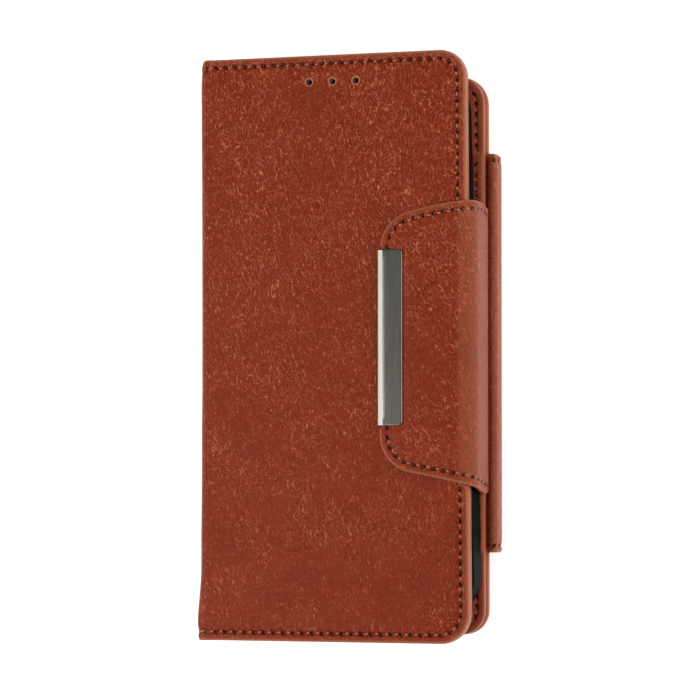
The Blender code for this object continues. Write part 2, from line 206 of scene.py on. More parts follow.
class Outline:
    """A rounded quadrilateral whose inset rings have matching points.

    Its corners run low left, low right, high right, high left. With an open right side it has square
    corners there, because the leather goes on past it in another piece.
    """

    def __init__(self, corners, radii, spacing, open_right=False, across=(), along=()):
        self.corners = [np.array(corner, float) for corner in corners]
        self.radii = radii
        self.open_right = open_right
        self.order = (2, 3, 0) if open_right else (2, 3, 0, 1)
        self.arc_steps = fours(max(radii) * math.pi / 4 / spacing)
        ends = [self.arc(self.corners, i, radius) for i, radius in enumerate(radii)]
        across = divide(ends[0][-1][0], ends[1][0][0], across, spacing)
        along = divide(ends[1][-1][1], ends[2][0][1], along, spacing)
        self.shares = (across, along, 1 - across[::-1], 1 - along[::-1])

    def arc(self, corners, i, radius):
        """The points round one corner."""
        here = corners[i]
        if radius == 0:
            return here[None, :]
        back, ahead = unit(corners[i - 1] - here), unit(corners[(i + 1) % 4] - here)
        half = math.acos(np.clip(back @ ahead, -1, 1)) / 2
        centre = here + unit(back + ahead) * radius / math.sin(half)
        first = here + back * radius / math.tan(half) - centre
        angles = np.linspace(0, math.pi - 2 * half, 2 * self.arc_steps + 1)
        cos, sin = np.cos(angles), np.sin(angles)
        return centre + np.stack([first[0] * cos - first[1] * sin, first[0] * sin + first[1] * cos], 1)

    def corners_at(self, inset):
        """The corners with each side moved in, apart from an open one."""
        insets = [inset, 0 if self.open_right else inset, inset, inset]
        moved = []
        for i, here in enumerate(self.corners):
            before, after = unit(here - self.corners[i - 1]), unit(self.corners[(i + 1) % 4] - here)
            first = here + insets[i - 1] * np.array([-before[1], before[0]])
            gap = here + insets[i] * np.array([-after[1], after[0]]) - first
            reach = (gap[0] * after[1] - gap[1] * after[0]) / (before[0] * after[1] - before[1] * after[0])
            moved.append(first + reach * before)
        return moved

    def sides(self, inset):
        """The sides of the ring at an inset, in order, each with both of its end points."""
        corners = self.corners_at(inset)
        arcs = [
            self.arc(corners, i, max(radius - inset, 0.1) if radius else 0)
            for i, radius in enumerate(self.radii)
        ]
        found = []
        for i in self.order:
            first, second = arcs[i], arcs[(i + 1) % 4]
            straight = first[-1] + (second[0] - first[-1]) * self.shares[i][:, None]
            found.append(np.vstack([first[len(first) // 2:-1], straight, second[1:len(second) // 2 + 1]]))
        return found

    def ring(self, inset):
        """All points of the ring at an inset."""
        sides = self.sides(inset)
        points = np.vstack([side[:-1] for side in sides])
        return np.vstack([points, sides[-1][-1:]]) if self.open_right else points

    def travelled(self, inset):
        """The distance along the ring at each of its points."""
        points = self.ring(inset)
        steps = np.linalg.norm(np.diff(points, axis=0), axis=1)
        return np.concatenate([[0], np.cumsum(steps)])

    def total(self, inset):
        """The ring's whole length."""
        points = self.ring(inset)
        closing = 0 if self.open_right else np.linalg.norm(points[0] - points[-1])
        return self.travelled(inset)[-1] + closing

    def depth(self, x, y):
        """The distance in from the nearest side."""
        distances = []
        for i in self.order:
            start, way = self.corners[i], unit(self.corners[(i + 1) % 4] - self.corners[i])
            distances.append((x - start[0]) * -way[1] + (y - start[1]) * way[0])
        return np.min(distances, axis=0)


def rectangle(left, right, low, high):
    """The corners of an upright rectangle."""
    return [(left, low), (right, low), (right, high), (left, high)]


def fold_outline(fold, low, high, radii, spacing, across):
    """The outline of a panel that takes a whole fold path and goes on past its end in another piece."""
    corners = rectangle(0, fold.length, low, high)
    return Outline(corners, [radii[0], 0, 0, radii[1]], spacing, open_right=True, across=across)


# ---------------------------------------------------------------- edge profiles

FACE_RINGS = (BORDER, 3.8, 3.3, 3.0, 2.8, 2.6, 2.4, 2.2, 2.0, 1.8, 1.5)


def face_rings(radius, rings=FACE_RINGS):
    """The rings on the face, from the border's inner side to where the edge begins to round over."""
    return [(inset, 0.0) for inset in rings if inset > radius + 0.1]


def rounded_edge(radius, steps=5):
    """An edge that rounds over from the face to the side."""
    angles = [math.pi / 2 * i / steps for i in range(steps + 1)]
    return [(radius * (1 - math.sin(a)), radius * (1 - math.cos(a))) for a in angles]


def under_edge(radius, thickness, steps=3):
    """An edge that rounds in from the side to the underside."""
    angles = [math.pi / 2 * i / steps for i in range(steps + 1)]
    return [(radius * (1 - math.cos(a)), thickness - radius * (1 - math.sin(a))) for a in angles]


def wrapped_profile(radius, thickness, under, turn_in, rings=FACE_RINGS):
    """Leather wrapped round a board's edge, as insets and depths: a shell with a turned-in hem below."""
    middle = (radius + thickness - under) / 2
    hem = thickness - SKIN
    return (
        face_rings(radius, rings) + rounded_edge(radius) + [(-0.05, middle)] + under_edge(under, thickness)
        + [(turn_in / 2, thickness), (turn_in, thickness), (turn_in + 0.2, hem + SKIN / 2), (turn_in, hem)]
        + [(SKIN + 0.4, hem), (SKIN, hem - 0.3), (SKIN, SKIN + 0.3), (SKIN + 0.4, SKIN), (rings[0], SKIN)]
    )


def slab_profile(radius, thickness, under, rings=FACE_RINGS):
    """A plain layer with rounded edges."""
    return face_rings(radius, rings) + rounded_edge(radius, 4) + under_edge(under, thickness) + [
        (rings[0], thickness)]


# ---------------------------------------------------------------- panels

class Hole:
    """An opening through a panel, as an outline that can be grown, with a rounded lip."""

    LIP = ((0.6, 0.0), (0.42, 0.02), (0.22, 0.08), (0.06, 0.2), (0.0, 0.4))

    def __init__(self, grown):
        self.grown = grown

    def meets(self, points):
        """True if a cell with these corners comes close to the hole."""
        ring = self.grown(self.LIP[0][0] + 0.25)
        low, high = ring.min(0), ring.max(0)
        return (points.min(0) < high).all() and (points.max(0) > low).all()


def round_hole(centre, radius, steps=20):
    """A round opening."""
    angles = np.linspace(0, 2 * math.pi, steps, endpoint=False)
    ray = np.stack([np.cos(angles), np.sin(angles)], 1)
    return Hole(lambda grow: np.array(centre) + ray * (radius + grow))


def window_hole(left, right, low, high, radius):
    """A rounded rectangular opening."""
    outline = Outline(rectangle(left, right, low, high), [radius] * 4, 1.2)
    return Hole(lambda grow: outline.ring(-grow))


class Panel:
    """A closed shell over an outline: a gridded outer face, rings round its edge and an inner face."""

    def __init__(self, outline, profile, holes=(), stitching=None):
        self.outline, self.holes, self.stitching = outline, holes, stitching
        self.points, self.insets, self.runs, self.outer, self.faces = [], [], [], [], []
        self.open_edges = []
        run = outline.travelled(stitching.inset) if stitching else None
        deepest = max(depth for _, depth in profile)
        rings = []
        on_face = True
        for inset, depth in profile:
            on_face = on_face and depth < 0.5 * deepest
            rings.append(self.add(outline.ring(inset), depth, inset, run, on_face))
        self.grid(rings[0], profile[0], True)
        self.grid(rings[-1], profile[-1], False)
        for first, second in zip(rings, rings[1:]):
            self.join(first, second)

    def add(self, points, depth, inset, run, outer):
        """Adds points at one depth and returns their numbers."""
        start = len(self.points)
        self.points.extend((x, y, depth) for x, y in points)
        self.insets.extend([inset] * len(points))
        self.runs.extend(run if run is not None else [-1.0] * len(points))
        self.outer.extend([outer] * len(points))
        return list(range(start, len(self.points)))

    def join(self, first, second):
        """Faces between two rings."""
        count = len(first) - (1 if self.outline.open_right else 0)
        for i in range(count):
            j = (i + 1) % len(first)
            self.faces.append((first[i], first[j], second[j], second[i]))

    def split_ring(self, ring):
        """The ring's numbers as its sides, each with both ends."""
        found, start = [], 0
        for side in self.outline.sides(0):
            stop = start + len(side) - 1
            found.append([ring[k % len(ring)] for k in range(start, stop + 1)])
            start = stop
        return found

    def grid(self, ring, level, outer):
        """Fills a ring with a coarse grid whose outer cells take in the ring's extra points."""
        sides = self.split_ring(ring)
        top, left, bottom = sides[0], sides[1], sides[2]
        across, up = len(bottom) // 4, len(left) // 4
        where = lambda numbers: np.array([self.points[k][:2] for k in numbers])
        low, high = where(bottom[::4]), where(top[::-1][::4])
        lefts = where(left[::-1][::4])
        if self.outline.open_right:
            share = (lefts[:, 1] - lefts[0, 1]) / (lefts[-1, 1] - lefts[0, 1])
            rights = low[-1] + (high[-1] - low[-1]) * share[:, None]
        else:
            rights = where(sides[3][::4])
        table = np.full((up + 1, across + 1), -1)
        table[0], table[up] = bottom[::4], top[::-1][::4]
        table[:, 0] = left[::-1][::4]
        if not self.outline.open_right:
            table[:, across] = sides[3][::4]
        for j in range(up + 1):
            v = j / up
            new = [i for i in range(across + 1) if table[j, i] < 0]
            u = np.array(new) / across
            mixed = (
                (1 - v) * low[new] + v * high[new] + (1 - u)[:, None] * lefts[j] + u[:, None] * rights[j]
                - (1 - v) * ((1 - u)[:, None] * low[0] + u[:, None] * low[-1])
                - v * ((1 - u)[:, None] * high[0] + u[:, None] * high[-1])
            )
            table[j, new] = self.add(mixed, level[1], level[0], None, outer)
        cells = {}
        for j in range(up):
            for i in range(across):
                cell = [table[j, i]]
                cell += bottom[4 * i + 1:4 * i + 4] if j == 0 else []
                cell += [table[j, i + 1]]
                if i == across - 1 and not self.outline.open_right:
                    cell += sides[3][4 * j + 1:4 * j + 4]
                cell += [table[j + 1, i + 1]]
                cell += top[::-1][4 * i + 1:4 * i + 4][::-1] if j == up - 1 else []
                cell += [table[j + 1, i]]
                cell += left[::-1][4 * j + 1:4 * j + 4][::-1] if i == 0 else []
                cells[j, i] = cell
        self.keep_cells(cells, outer)

    def keep_cells(self, cells, outer):
        """Keeps the cells that no hole meets, and notes the edges round each hole."""
        edges = [{} for _ in self.holes]
        for cell in cells.values():
            points = np.array([self.points[k][:2] for k in cell])
            met = [n for n, hole in enumerate(self.holes) if hole.meets(points)]
            if not met:
                self.faces.append(tuple(int(k) for k in cell))
                continue
            for a, b in zip(cell, cell[1:] + cell[:1]):
                key = (min(a, b), max(a, b))
                edges[met[0]][key] = edges[met[0]].get(key, 0) + 1
        for n, found in enumerate(edges):
            self.open_edges.append((n, outer, [key for key, times in found.items() if times == 1]))

    def to_bmesh(self):
        """The flat shell, with its holes' walls and an open end's cap filled in."""
        work = bmesh.new()
        verts = [work.verts.new(point) for point in self.points]
        for face in self.faces:
            work.faces.new([verts[k] for k in face])
        inner = self.points[self.inner_number()][2]
        for n, hole in enumerate(self.holes):
            rings = [(grow, depth) for grow, depth in hole.LIP if depth < inner]
            rings += [(0.0, inner * 0.5), (0.0, inner)]
            loops = []
            for k, (grow, depth) in enumerate(rings):
                points = hole.grown(grow)
                loops.append([work.verts.new((x, y, depth)) for x, y in points])
                self.insets.extend([BORDER] * len(points))
                self.runs.extend([-1.0] * len(points))
                self.outer.extend([k < len(rings) - 1] * len(points))
            for first, second in zip(loops, loops[1:]):
                for i in range(len(first)):
                    work.faces.new((first[i - 1], first[i], second[i], second[i - 1]))
            for number, outer, keys in self.open_edges:
                if number != n:
                    continue
                edges = [self.edge(work, verts[a], verts[b]) for a, b in keys]
                loop = loops[0] if outer else loops[-1]
                edges += [self.edge(work, loop[i - 1], loop[i]) for i in range(len(loop))]
                bmesh.ops.triangle_fill(work, use_beauty=True, edges=edges)
        if self.outline.open_right:
            rim = [edge for edge in work.edges if len(edge.link_faces) == 1]
            bmesh.ops.triangle_fill(work, use_beauty=True, edges=rim)
        bmesh.ops.recalc_face_normals(work, faces=work.faces)
        return work

    def hole_walls(self, count, depth):
        """Painted highlight on the holes' lips, where the rim catches light, and painted shade deeper down
        their walls, at each point.
        """
        start = len(self.points)
        wall = (np.arange(count) >= start) & (depth > 0.01)
        return wall & (depth < SKIN), np.where(wall, smoothstep(0.3, 0.6, depth), 0)

    def inner_number(self):
        """A point of the inner face."""
        return self.outer.index(False) if False in self.outer else 0

    @staticmethod
    def edge(work, first, second):
        """The edge between two points, made if it isn't there."""
        return work.edges.get((first, second)) or work.edges.new((first, second))


# ---------------------------------------------------------------- stitching

class Stitching:
    """A line of slanted stitches along a panel's edge: needle holes in the leather, and the thread."""

    SLANT = math.radians(22)
    HOLE_LENGTH = 0.68
    HOLE_WIDTH = 0.38

    def __init__(self, outline, inset, valley=0.22, only_arms=False):
        self.outline, self.inset, self.valley = outline, inset, valley
        total = outline.total(inset)
        self.count = round(total / PITCH)
        self.pitch = total / self.count
        corner = outline.corners[3] + np.array([inset, -inset])
        points, run = outline.ring(inset), outline.travelled(inset)
        arm = run[np.argmin(np.linalg.norm(points - corner, axis=1))]
        self.bare = (arm - 0.5, total - arm + 0.5) if only_arms else (0, 0)

    def sewn(self, run):
        """True where the line has stitches."""
        return (run < self.bare[0]) | (run > self.bare[1])

    def phase(self, run):
        """Signed distance along the line from the nearest needle hole."""
        shifted = run / self.pitch - 0.5
        return (shifted - np.round(shifted)) * self.pitch

    def relief(self, inset, run):
        """How far the leather sinks near the line, and the painted shade in its needle holes."""
        along, across = self.phase(run), inset - self.inset
        cos, sin = math.cos(self.SLANT), math.sin(self.SLANT)
        lengthwise, sidewise = along * cos + across * sin, along * sin - across * cos
        near = np.exp(-((lengthwise / self.HOLE_LENGTH) ** 4) - (sidewise / self.HOLE_WIDTH) ** 4)
        inside = self.sewn(run)
        near = np.where(inside, near, 0)
        pucker = 0.16 * bump_at(inset, self.inset + 1.0, 0.7) * np.exp(-((along / 0.7) ** 2))
        sunk = self.valley * bump_at(inset, self.inset, 0.6) + np.where(inside, pucker, 0)
        # The second value is painted shade, darkening the needle holes where light does not reach in
        return sunk + 0.5 * near, np.clip(near * 1.5, 0, 1)

    def thread(self, gauge=0.2, crown=0.1, sides=6, steps=8):
        """The thread as closed tubes in flat space: points with a share along each stitch, and faces."""
        points, shares, faces = [], [], []
        near, far = self.outline.ring(self.inset - 0.3), self.outline.ring(self.inset + 0.3)
        middle, run = self.outline.ring(self.inset), self.outline.travelled(self.inset)
        if not self.outline.open_right:
            run = np.append(run, self.outline.total(self.inset))
            near, far, middle = (np.vstack([ring, ring[:1]]) for ring in (near, far, middle))
        for k in range(self.count):
            start = (k + 0.5) * self.pitch
            stop = start + self.pitch
            if stop > run[-1] or not (self.sewn(start) and self.sewn(stop)):
                continue
            u = np.linspace(0.07, 0.93, steps)
            at = start + self.pitch * u
            line = lambda ring: np.stack([np.interp(at, run, column) for column in ring.T], 1)
            spot, inward = line(middle), line(far) - line(near)
            inward /= np.linalg.norm(inward, axis=1)[:, None]
            way = np.gradient(spot, axis=0)
            way /= np.linalg.norm(way, axis=1)[:, None]
            lean = (u - 0.5) * 0.6 - 0.16
            height = -0.55 + (0.55 + crown) * np.exp(-(((u - 0.42) / 0.2) ** 2))
            thick = gauge * (0.75 + 0.25 * np.sin(math.pi * u))
            base = len(points)
            for n in range(steps):
                for s in range(sides):
                    angle = 2 * math.pi * s / sides
                    side, lift = thick[n] * math.cos(angle), thick[n] * math.sin(angle)
                    x, y = spot[n] + inward[n] * (side - lean[n])
                    points.append((x, y, self.valley - height[n] - lift))
                    shares.append((at[n], s / sides, u[n]))
            for n in range(steps - 1):
                for s in range(sides):
                    t = (s + 1) % sides
                    row, after = base + n * sides, base + (n + 1) * sides
                    faces.append((row + s, row + t, after + t, after + s))
            faces.append(tuple(base + s for s in range(sides)))
            faces.append(tuple(base + (steps - 1) * sides + s for s in reversed(range(sides))))
        return np.array(points), np.array(shares), faces


# ---------------------------------------------------------------- objects

SHARP_ANGLE = math.radians(50)
GRAIN_STEP = 37.0
PAD_HEIGHT = 0.14
PAD_REACH = 1.6
WAVES = ((14, 0.05, 3.1), (5, 0.03, 8.7))  # each one's size, height and start in the noise


def mesh_from(work, name):
    """A mesh from a bmesh, which is freed."""
    mesh = bpy.data.meshes.new(name)
    work.to_mesh(mesh)
    work.free()
    return mesh


def add_object(name, data):
    """A new object in the scene."""
    made = bpy.data.objects.new(name, data)
    bpy.context.collection.objects.link(made)
    return made


def read_points(mesh):
    """A mesh's points, one row each."""
    points = np.zeros(len(mesh.vertices) * 3)
    mesh.vertices.foreach_get("co", points)
    return points.reshape(-1, 3)


def write_points(mesh, points):
    """Moves a mesh's points to places in mm."""
    mesh.vertices.foreach_set("co", (points * MM).astype(np.float32).ravel())


def finish_mesh(mesh, name, material, grain, dark=None, edge=None):
    """An object from a mesh, with the flat position of each point as its grain coordinates."""
    vectors = mesh.attributes.new("grain", "FLOAT_VECTOR", "POINT")
    vectors.data.foreach_set("vector", np.asarray(grain, np.float32).ravel())
    for label, values in (("dark", dark), ("edge", edge)):
        if values is not None:
            attribute = mesh.attributes.new(label, "FLOAT", "POINT")
            attribute.data.foreach_set("value", np.asarray(values, np.float32))
    mesh.materials.append(material)
    mesh.shade_smooth()
    return add_object(name, mesh)


def stitch_relief(panel, x, y, inset, run, outer):
    """How far each point sinks at the stitches or swells inside them, and the painted shade in the needle
    holes.
    """
    sunk, dark = np.zeros(len(x)), np.zeros(len(x))
    if not panel.stitching:
        return sunk, dark
    on_line = outer & (run >= 0) & (inset > 1.0)
    relief, shade = panel.stitching.relief(inset, run)
    sunk[on_line], dark[on_line] = relief[on_line], shade[on_line]
    reach = np.where(run >= 0, inset, panel.outline.depth(x, y))
    pad = PAD_HEIGHT * (1 - np.exp(-np.clip(reach - panel.stitching.inset, 0, None) / PAD_REACH))
    sunk[outer] -= (pad * smoothstep(0.8, 2.4, reach))[outer]
    return sunk, dark


def unevenness(panel, x, y, seed):
    """Gentle waves in the leather, which die out where it goes on in another piece."""
    waves = [height * wander(x, y, size, start + seed) for size, height, start in WAVES]
    uneven = waves[0] + waves[1]
    if panel.outline.open_right:
        uneven = uneven * smoothstep(0.5, 6, x.max() - x)
    return uneven


def edge_wear_and_highlight(inset, run, outer):
    """How much of the lighter edge colour each point gets: edge wear along the rounded edge together with a
    painted highlight where the rim catches light, and a flat share on the turned-in underside.
    """
    band = 0.12 * smoothstep(1.9, 1.2, inset) + 0.6 * smoothstep(0.8, 0.5, inset)
    band = band + 0.28 * smoothstep(0.4, 0.1, inset)
    return np.where(outer, band, 0.6) * (run >= 0)


def panel_object(name, panel, place, material, shape=None, seed=0.0, joins=0.0, worn=None, waviness=1.0):
    """Builds a panel: stitch relief, gentle unevenness, its own shape, and then its place in space.

    A panel that joins another at its open end has grain that runs on from the other's length there.
    """
    work = panel.to_bmesh()
    work.verts.index_update()
    mesh = mesh_from(work, name)
    flat = read_points(mesh)
    count = len(flat)
    x, y, depth = flat.T.copy()
    inset, run, outer = (np.array(values[:count]) for values in (panel.insets, panel.runs, panel.outer))
    sunk, dark = stitch_relief(panel, x, y, inset, run, outer)
    sunk[outer] += waviness * unevenness(panel, x, y, seed)[outer]
    edge = edge_wear_and_highlight(inset, run, outer)
    # Painted shadow in the gap between layers, on the turned-in underside of each edge
    dark = np.where(~outer & (run >= 0), 0.8 * smoothstep(0.05, 0.7, inset), dark)
    # Painted highlight on hole lips and painted shade down hole walls
    lip_highlight, wall_shade = panel.hole_walls(count, depth)
    edge, dark = np.maximum(edge, lip_highlight), np.maximum(dark, wall_shade)
    # Extra lighter colour the caller gives: stretched leather together with painted light on sides that face
    # the lamps
    if worn:
        edge = np.maximum(edge, worn(x))
    depth = depth + sunk
    if shape:
        x, y, depth = shape(x, y, depth)
    write_points(mesh, place(x, y, depth))
    mesh.update()
    grain = flat + np.array([0, 0, GRAIN_STEP * seed])
    if joins:
        grain[:, 0] = joins + flat[:, 0].max() - flat[:, 0]
    made = finish_mesh(mesh, name, material, grain, dark, edge)
    mesh.set_sharp_from_angle(angle=SHARP_ANGLE)
    return made


def thread_object(name, stitching, place, shape=None, **size):
    """Builds the thread of a stitch line, placed as its panel is."""
    points, shares, faces = stitching.thread(**size)
    x, y, depth = points.T
    if shape:
        x, y, depth = shape(x, y, depth)
    mesh = bpy.data.meshes.new(name)
    mesh.from_pydata((place(x, y, depth) * MM).tolist(), [], faces)
    mesh.update()
    mesh_normals_out(mesh)
    return finish_mesh(mesh, name, thread, shares)


def mesh_normals_out(mesh):
    """Turns every closed body's faces outwards."""
    work = bmesh.new()
    work.from_mesh(mesh)
    bmesh.ops.recalc_face_normals(work, faces=work.faces)
    work.to_mesh(mesh)
    work.free()


# ---------------------------------------------------------------- materials

# Edge wear colour, also used as a painted highlight on rims and hole lips and as painted light on lit sides
EDGE_WEAR_AND_LIGHT = (0.56, 0.2, 0.1)
# Painted shade colour for needle holes, hole walls and the gaps under turned-in edges
HOLE_AND_GAP_SHADE = (0.006, 0.003, 0.003)
LEATHER_TINT = (1.0, 0.55, 0.3, 1.0)
VEIN_SCALE = 1.0
VEIN_WIDTH = 0.023
VEIN_STRETCH = 0.38


class Nodes:
    """Short calls for a material's nodes."""

    def __init__(self, material):
        material.use_nodes = True
        self.tree = material.node_tree
        self.shader = self.tree.nodes["Principled BSDF"]

    def new(self, kind, inputs=None, **settings):
        """A node with its settings. An input is a value or another node's output."""
        node = self.tree.nodes.new(kind)
        for name, value in settings.items():
            setattr(node, name, value)
        for name, value in (inputs or {}).items():
            if isinstance(value, bpy.types.NodeSocket):
                self.tree.links.new(value, node.inputs[name])
            else:
                node.inputs[name].default_value = value
        return node

    def math(self, operation, first, second=0.0, third=0.0, clamp=False):
        """A sum or another function."""
        node = self.new("ShaderNodeMath", {0: first, 1: second, 2: third}, operation=operation)
        node.use_clamp = clamp
        return node.outputs[0]

    def noise(self, vector, scale, detail=4.0, roughness=0.55):
        """A noise texture."""
        values = {"Vector": vector, "Scale": scale, "Detail": detail, "Roughness": roughness}
        return self.new("ShaderNodeTexNoise", values)

    def cracks(self, vector, scale, randomness=1.0):
        """1 on the lines between random cells, falling off inside them."""
        values = {"Vector": vector, "Scale": scale, "Randomness": randomness}
        return self.new("ShaderNodeTexVoronoi", values, feature="DISTANCE_TO_EDGE").outputs["Distance"]

    def ramp(self, value, low, high):
        """A smooth 0 to 1 between two values."""
        values = {"Value": value, "From Min": low, "From Max": high}
        node = self.new("ShaderNodeMapRange", values, interpolation_type="SMOOTHSTEP")
        return node.outputs["Result"]

    def mix(self, factor, first, second, blend="MIX"):
        """A colour mix."""
        node = self.new("ShaderNodeMix", data_type="RGBA", blend_type=blend)
        for number, value in ((0, factor), (6, first), (7, second)):
            if isinstance(value, bpy.types.NodeSocket):
                self.tree.links.new(value, node.inputs[number])
            elif number:
                node.inputs[number].default_value = (*value, 1.0)
            else:
                node.inputs[number].default_value = value
        return node.outputs[2]

    def attribute(self, name):
        """A mesh attribute."""
        return self.new("ShaderNodeAttribute", attribute_name=name)

    def vector(self, operation, first, second):
        """A function of two vectors."""
        return self.new("ShaderNodeVectorMath", {0: first, 1: second}, operation=operation).outputs[0]

    def link(self, output, name):
        """Feeds one of the shader's inputs."""
        self.tree.links.new(output, self.shader.inputs[name])

    def bump(self, height, distance, strength=1.0):
        """A normal that follows a height."""
        values = {"Height": height, "Distance": distance, "Strength": strength}
        return self.new("ShaderNodeBump", values).outputs["Normal"]


def new_material(name, roughness, metallic=0.0, specular=0.5):
    """An empty material whose constant values sit on the shader's own sockets."""
    material = bpy.data.materials.new(name)
    nodes = Nodes(material)
    nodes.shader.inputs["Roughness"].default_value = roughness
    nodes.shader.inputs["Metallic"].default_value = metallic
    nodes.shader.inputs["Specular IOR Level"].default_value = specular
    return material, nodes


def grain_coordinates(nodes):
    """Flat leather coordinates in mm, bent by slow noise so that the grain flows."""
    flat = nodes.attribute("grain").outputs["Vector"]
    slow = nodes.noise(flat, 0.04, 2.0).outputs["Color"]
    shift = nodes.vector("MULTIPLY", nodes.vector("SUBTRACT", slow, (0.5, 0.5, 0.5)), (8.0, 8.0, 3.0))
    fine = nodes.noise(flat, 0.5, 1.5).outputs["Color"]
    jitter = nodes.vector("MULTIPLY", nodes.vector("SUBTRACT", fine, (0.5, 0.5, 0.5)), (0.5, 0.5, 0.2))
    return flat, nodes.vector("ADD", nodes.vector("ADD", flat, shift), jitter)


def leather_veins(nodes, flow, turn, scale, width, layer):
    """Thin wavy lines, long in one direction, where a stretched noise crosses its middle value."""
    turned = nodes.new("ShaderNodeMapping", {
        "Vector": flow, "Rotation": (0.0, 0.0, math.radians(turn)), "Location": (0.0, 0.0, layer)})
    stretched = nodes.vector("MULTIPLY", turned.outputs[0], (1.0, VEIN_STRETCH, 1.0))
    value = nodes.noise(stretched, scale, 1.0, 0.5).outputs["Fac"]
    return nodes.ramp(nodes.math("ABSOLUTE", nodes.math("SUBTRACT", value, 0.5)), width, 0.0)


def leather_material(name, deep, middle, vein, roughness, turn=20, strength=1.0):
    """Semi-matt leather: a reddish ground under fine, lighter veins, with tone variation, pores, edge wear
    with painted highlight, and painted shade.
    """
    material, nodes = new_material(name, roughness, specular=0.32)
    flat, flow = grain_coordinates(nodes)
    veins = nodes.math("MAXIMUM", leather_veins(nodes, flow, turn, VEIN_SCALE, VEIN_WIDTH, 0.0),
                       leather_veins(nodes, flow, turn - 22, 1.15 * VEIN_SCALE, VEIN_WIDTH, 9.0))
    height_up = nodes.new("ShaderNodeSeparateXYZ", {0: flat}).outputs[1]
    patches = nodes.noise(flat, 0.05, 3.0, 0.6).outputs["Fac"]
    presence = nodes.ramp(nodes.math("MULTIPLY_ADD", height_up, 0.0016, patches), 0.26, 0.7)
    broken = nodes.ramp(nodes.noise(flow, 0.7, 3.0, 0.6).outputs["Fac"], 0.34, 0.6)
    lines = nodes.math("MULTIPLY", veins, nodes.math("MULTIPLY_ADD", broken, 0.55, 0.45))
    lines = nodes.math("MULTIPLY", lines, nodes.math("MULTIPLY_ADD", presence, 0.5, 0.3 * strength))
    cloud = nodes.ramp(nodes.noise(flat, 0.09, 4.0, 0.55).outputs["Fac"], 0.25, 0.75)
    grit = nodes.noise(flow, 1.6, 3.0, 0.6).outputs["Fac"]
    mottle = nodes.ramp(grit, 0.3, 0.7)
    shade = nodes.math("MULTIPLY_ADD", mottle, 0.3, nodes.math("MULTIPLY", cloud, 0.7), clamp=True)
    base = nodes.mix(shade, deep, middle)
    base = nodes.mix(lines, base, vein)
    # Edge wear colour mixed in by the edge attribute, partly a painted highlight and painted light
    edge = nodes.math("MULTIPLY", nodes.attribute("edge").outputs["Fac"], 0.78 * strength)
    base = nodes.mix(edge, base, EDGE_WEAR_AND_LIGHT)
    # The dark attribute mixes in painted shade: needle holes, hole walls and gaps under edges
    dark = nodes.attribute("dark").outputs["Fac"]
    base = nodes.mix(dark, base, HOLE_AND_GAP_SHADE)
    nodes.link(base, "Base Color")
    nodes.link(nodes.math("MULTIPLY_ADD", shade, 0.12, roughness - 0.06), "Roughness")
    pore = nodes.ramp(nodes.cracks(flow, 2.9), 0.0, 0.25)
    height = nodes.math("MULTIPLY_ADD", veins, 0.45, nodes.math("MULTIPLY", pore, 0.25))
    height = nodes.math("MULTIPLY_ADD", grit, 0.6, height)
    nodes.link(nodes.bump(height, 0.00017, 0.75), "Normal")
    nodes.shader.inputs["Coat Weight"].default_value = 0.03
    nodes.shader.inputs["Coat Roughness"].default_value = 0.4
    nodes.shader.inputs["Specular Tint"].default_value = LEATHER_TINT
    return material


def thread_material(name, colour):
    """Twisted sewing thread, with painted shade in the grooves between its plies."""
    material, nodes = new_material(name, 0.6, specular=0.3)
    split = nodes.new("ShaderNodeSeparateXYZ", {0: nodes.attribute("grain").outputs["Vector"]})
    turns = nodes.math("MULTIPLY_ADD", split.outputs[0], 1.6, split.outputs[1])
    wave = nodes.math("SINE", nodes.math("MULTIPLY", turns, 4 * math.pi))
    shade = nodes.math("MULTIPLY_ADD", wave, 0.5, 0.5)
    # Painted shade: the twist's grooves are coloured darker
    nodes.link(nodes.mix(shade, tuple(0.55 * c for c in colour), colour), "Base Color")
    nodes.link(nodes.bump(shade, 0.0001, 0.8), "Normal")
    nodes.shader.inputs["Sheen Weight"].default_value = 0.2
    return material


def rubber_material(name):
    """Black flexible plastic with a faint moulded texture."""
    material, nodes = new_material(name, 0.55, specular=0.05)
    place = nodes.new("ShaderNodeTexCoord").outputs["Object"]
    cloud = nodes.noise(place, 60.0, 4.0).outputs["Fac"]
    nodes.link(nodes.mix(cloud, (0.002, 0.0019, 0.0016), (0.005, 0.0046, 0.004)), "Base Color")
    grit = nodes.noise(place, 9000.0, 2.0).outputs["Fac"]
    nodes.link(nodes.math("MULTIPLY_ADD", cloud, 0.16, 0.5), "Roughness")
    nodes.link(nodes.bump(grit, 0.00004, 0.5), "Normal")
    return material


def steel_material(name, colour, brushed, roughness):
    """Steel, with brushing lines along Y where it is brushed."""
    material, nodes = new_material(name, roughness, metallic=1.0)
    place = nodes.new("ShaderNodeTexCoord").outputs["Object"]
    stretch = (9000.0, 130.0, 9000.0) if brushed else (900.0, 900.0, 900.0)
    streaks = nodes.noise(nodes.vector("MULTIPLY", place, stretch), 1.0, 3.0).outputs["Fac"]
    cloud = nodes.noise(place, 120.0, 3.0).outputs["Fac"]
    light = nodes.mix(streaks, tuple(0.8 * c for c in colour), colour)
    nodes.link(nodes.mix(nodes.math("MULTIPLY", cloud, 0.25), light, tuple(0.7 * c for c in colour)),
               "Base Color")
    nodes.link(nodes.math("MULTIPLY_ADD", streaks, 0.14, roughness - 0.07), "Roughness")
    nodes.link(nodes.bump(streaks, 0.00003, 0.35), "Normal")
    return material


def board_material(name):
    """Grey pressed board with fibres."""
    material, nodes = new_material(name, 0.85, specular=0.2)
    place = nodes.new("ShaderNodeTexCoord").outputs["Object"]
    fibre = nodes.noise(nodes.vector("MULTIPLY", place, (900.0, 2600.0, 2600.0)), 1.0, 5.0).outputs["Fac"]
    shade = nodes.ramp(fibre, 0.35, 0.7)
    nodes.link(nodes.mix(shade, (0.2, 0.185, 0.16), (0.36, 0.335, 0.3)), "Base Color")
    nodes.link(nodes.bump(fibre, 0.0001, 0.5), "Normal")
    return material


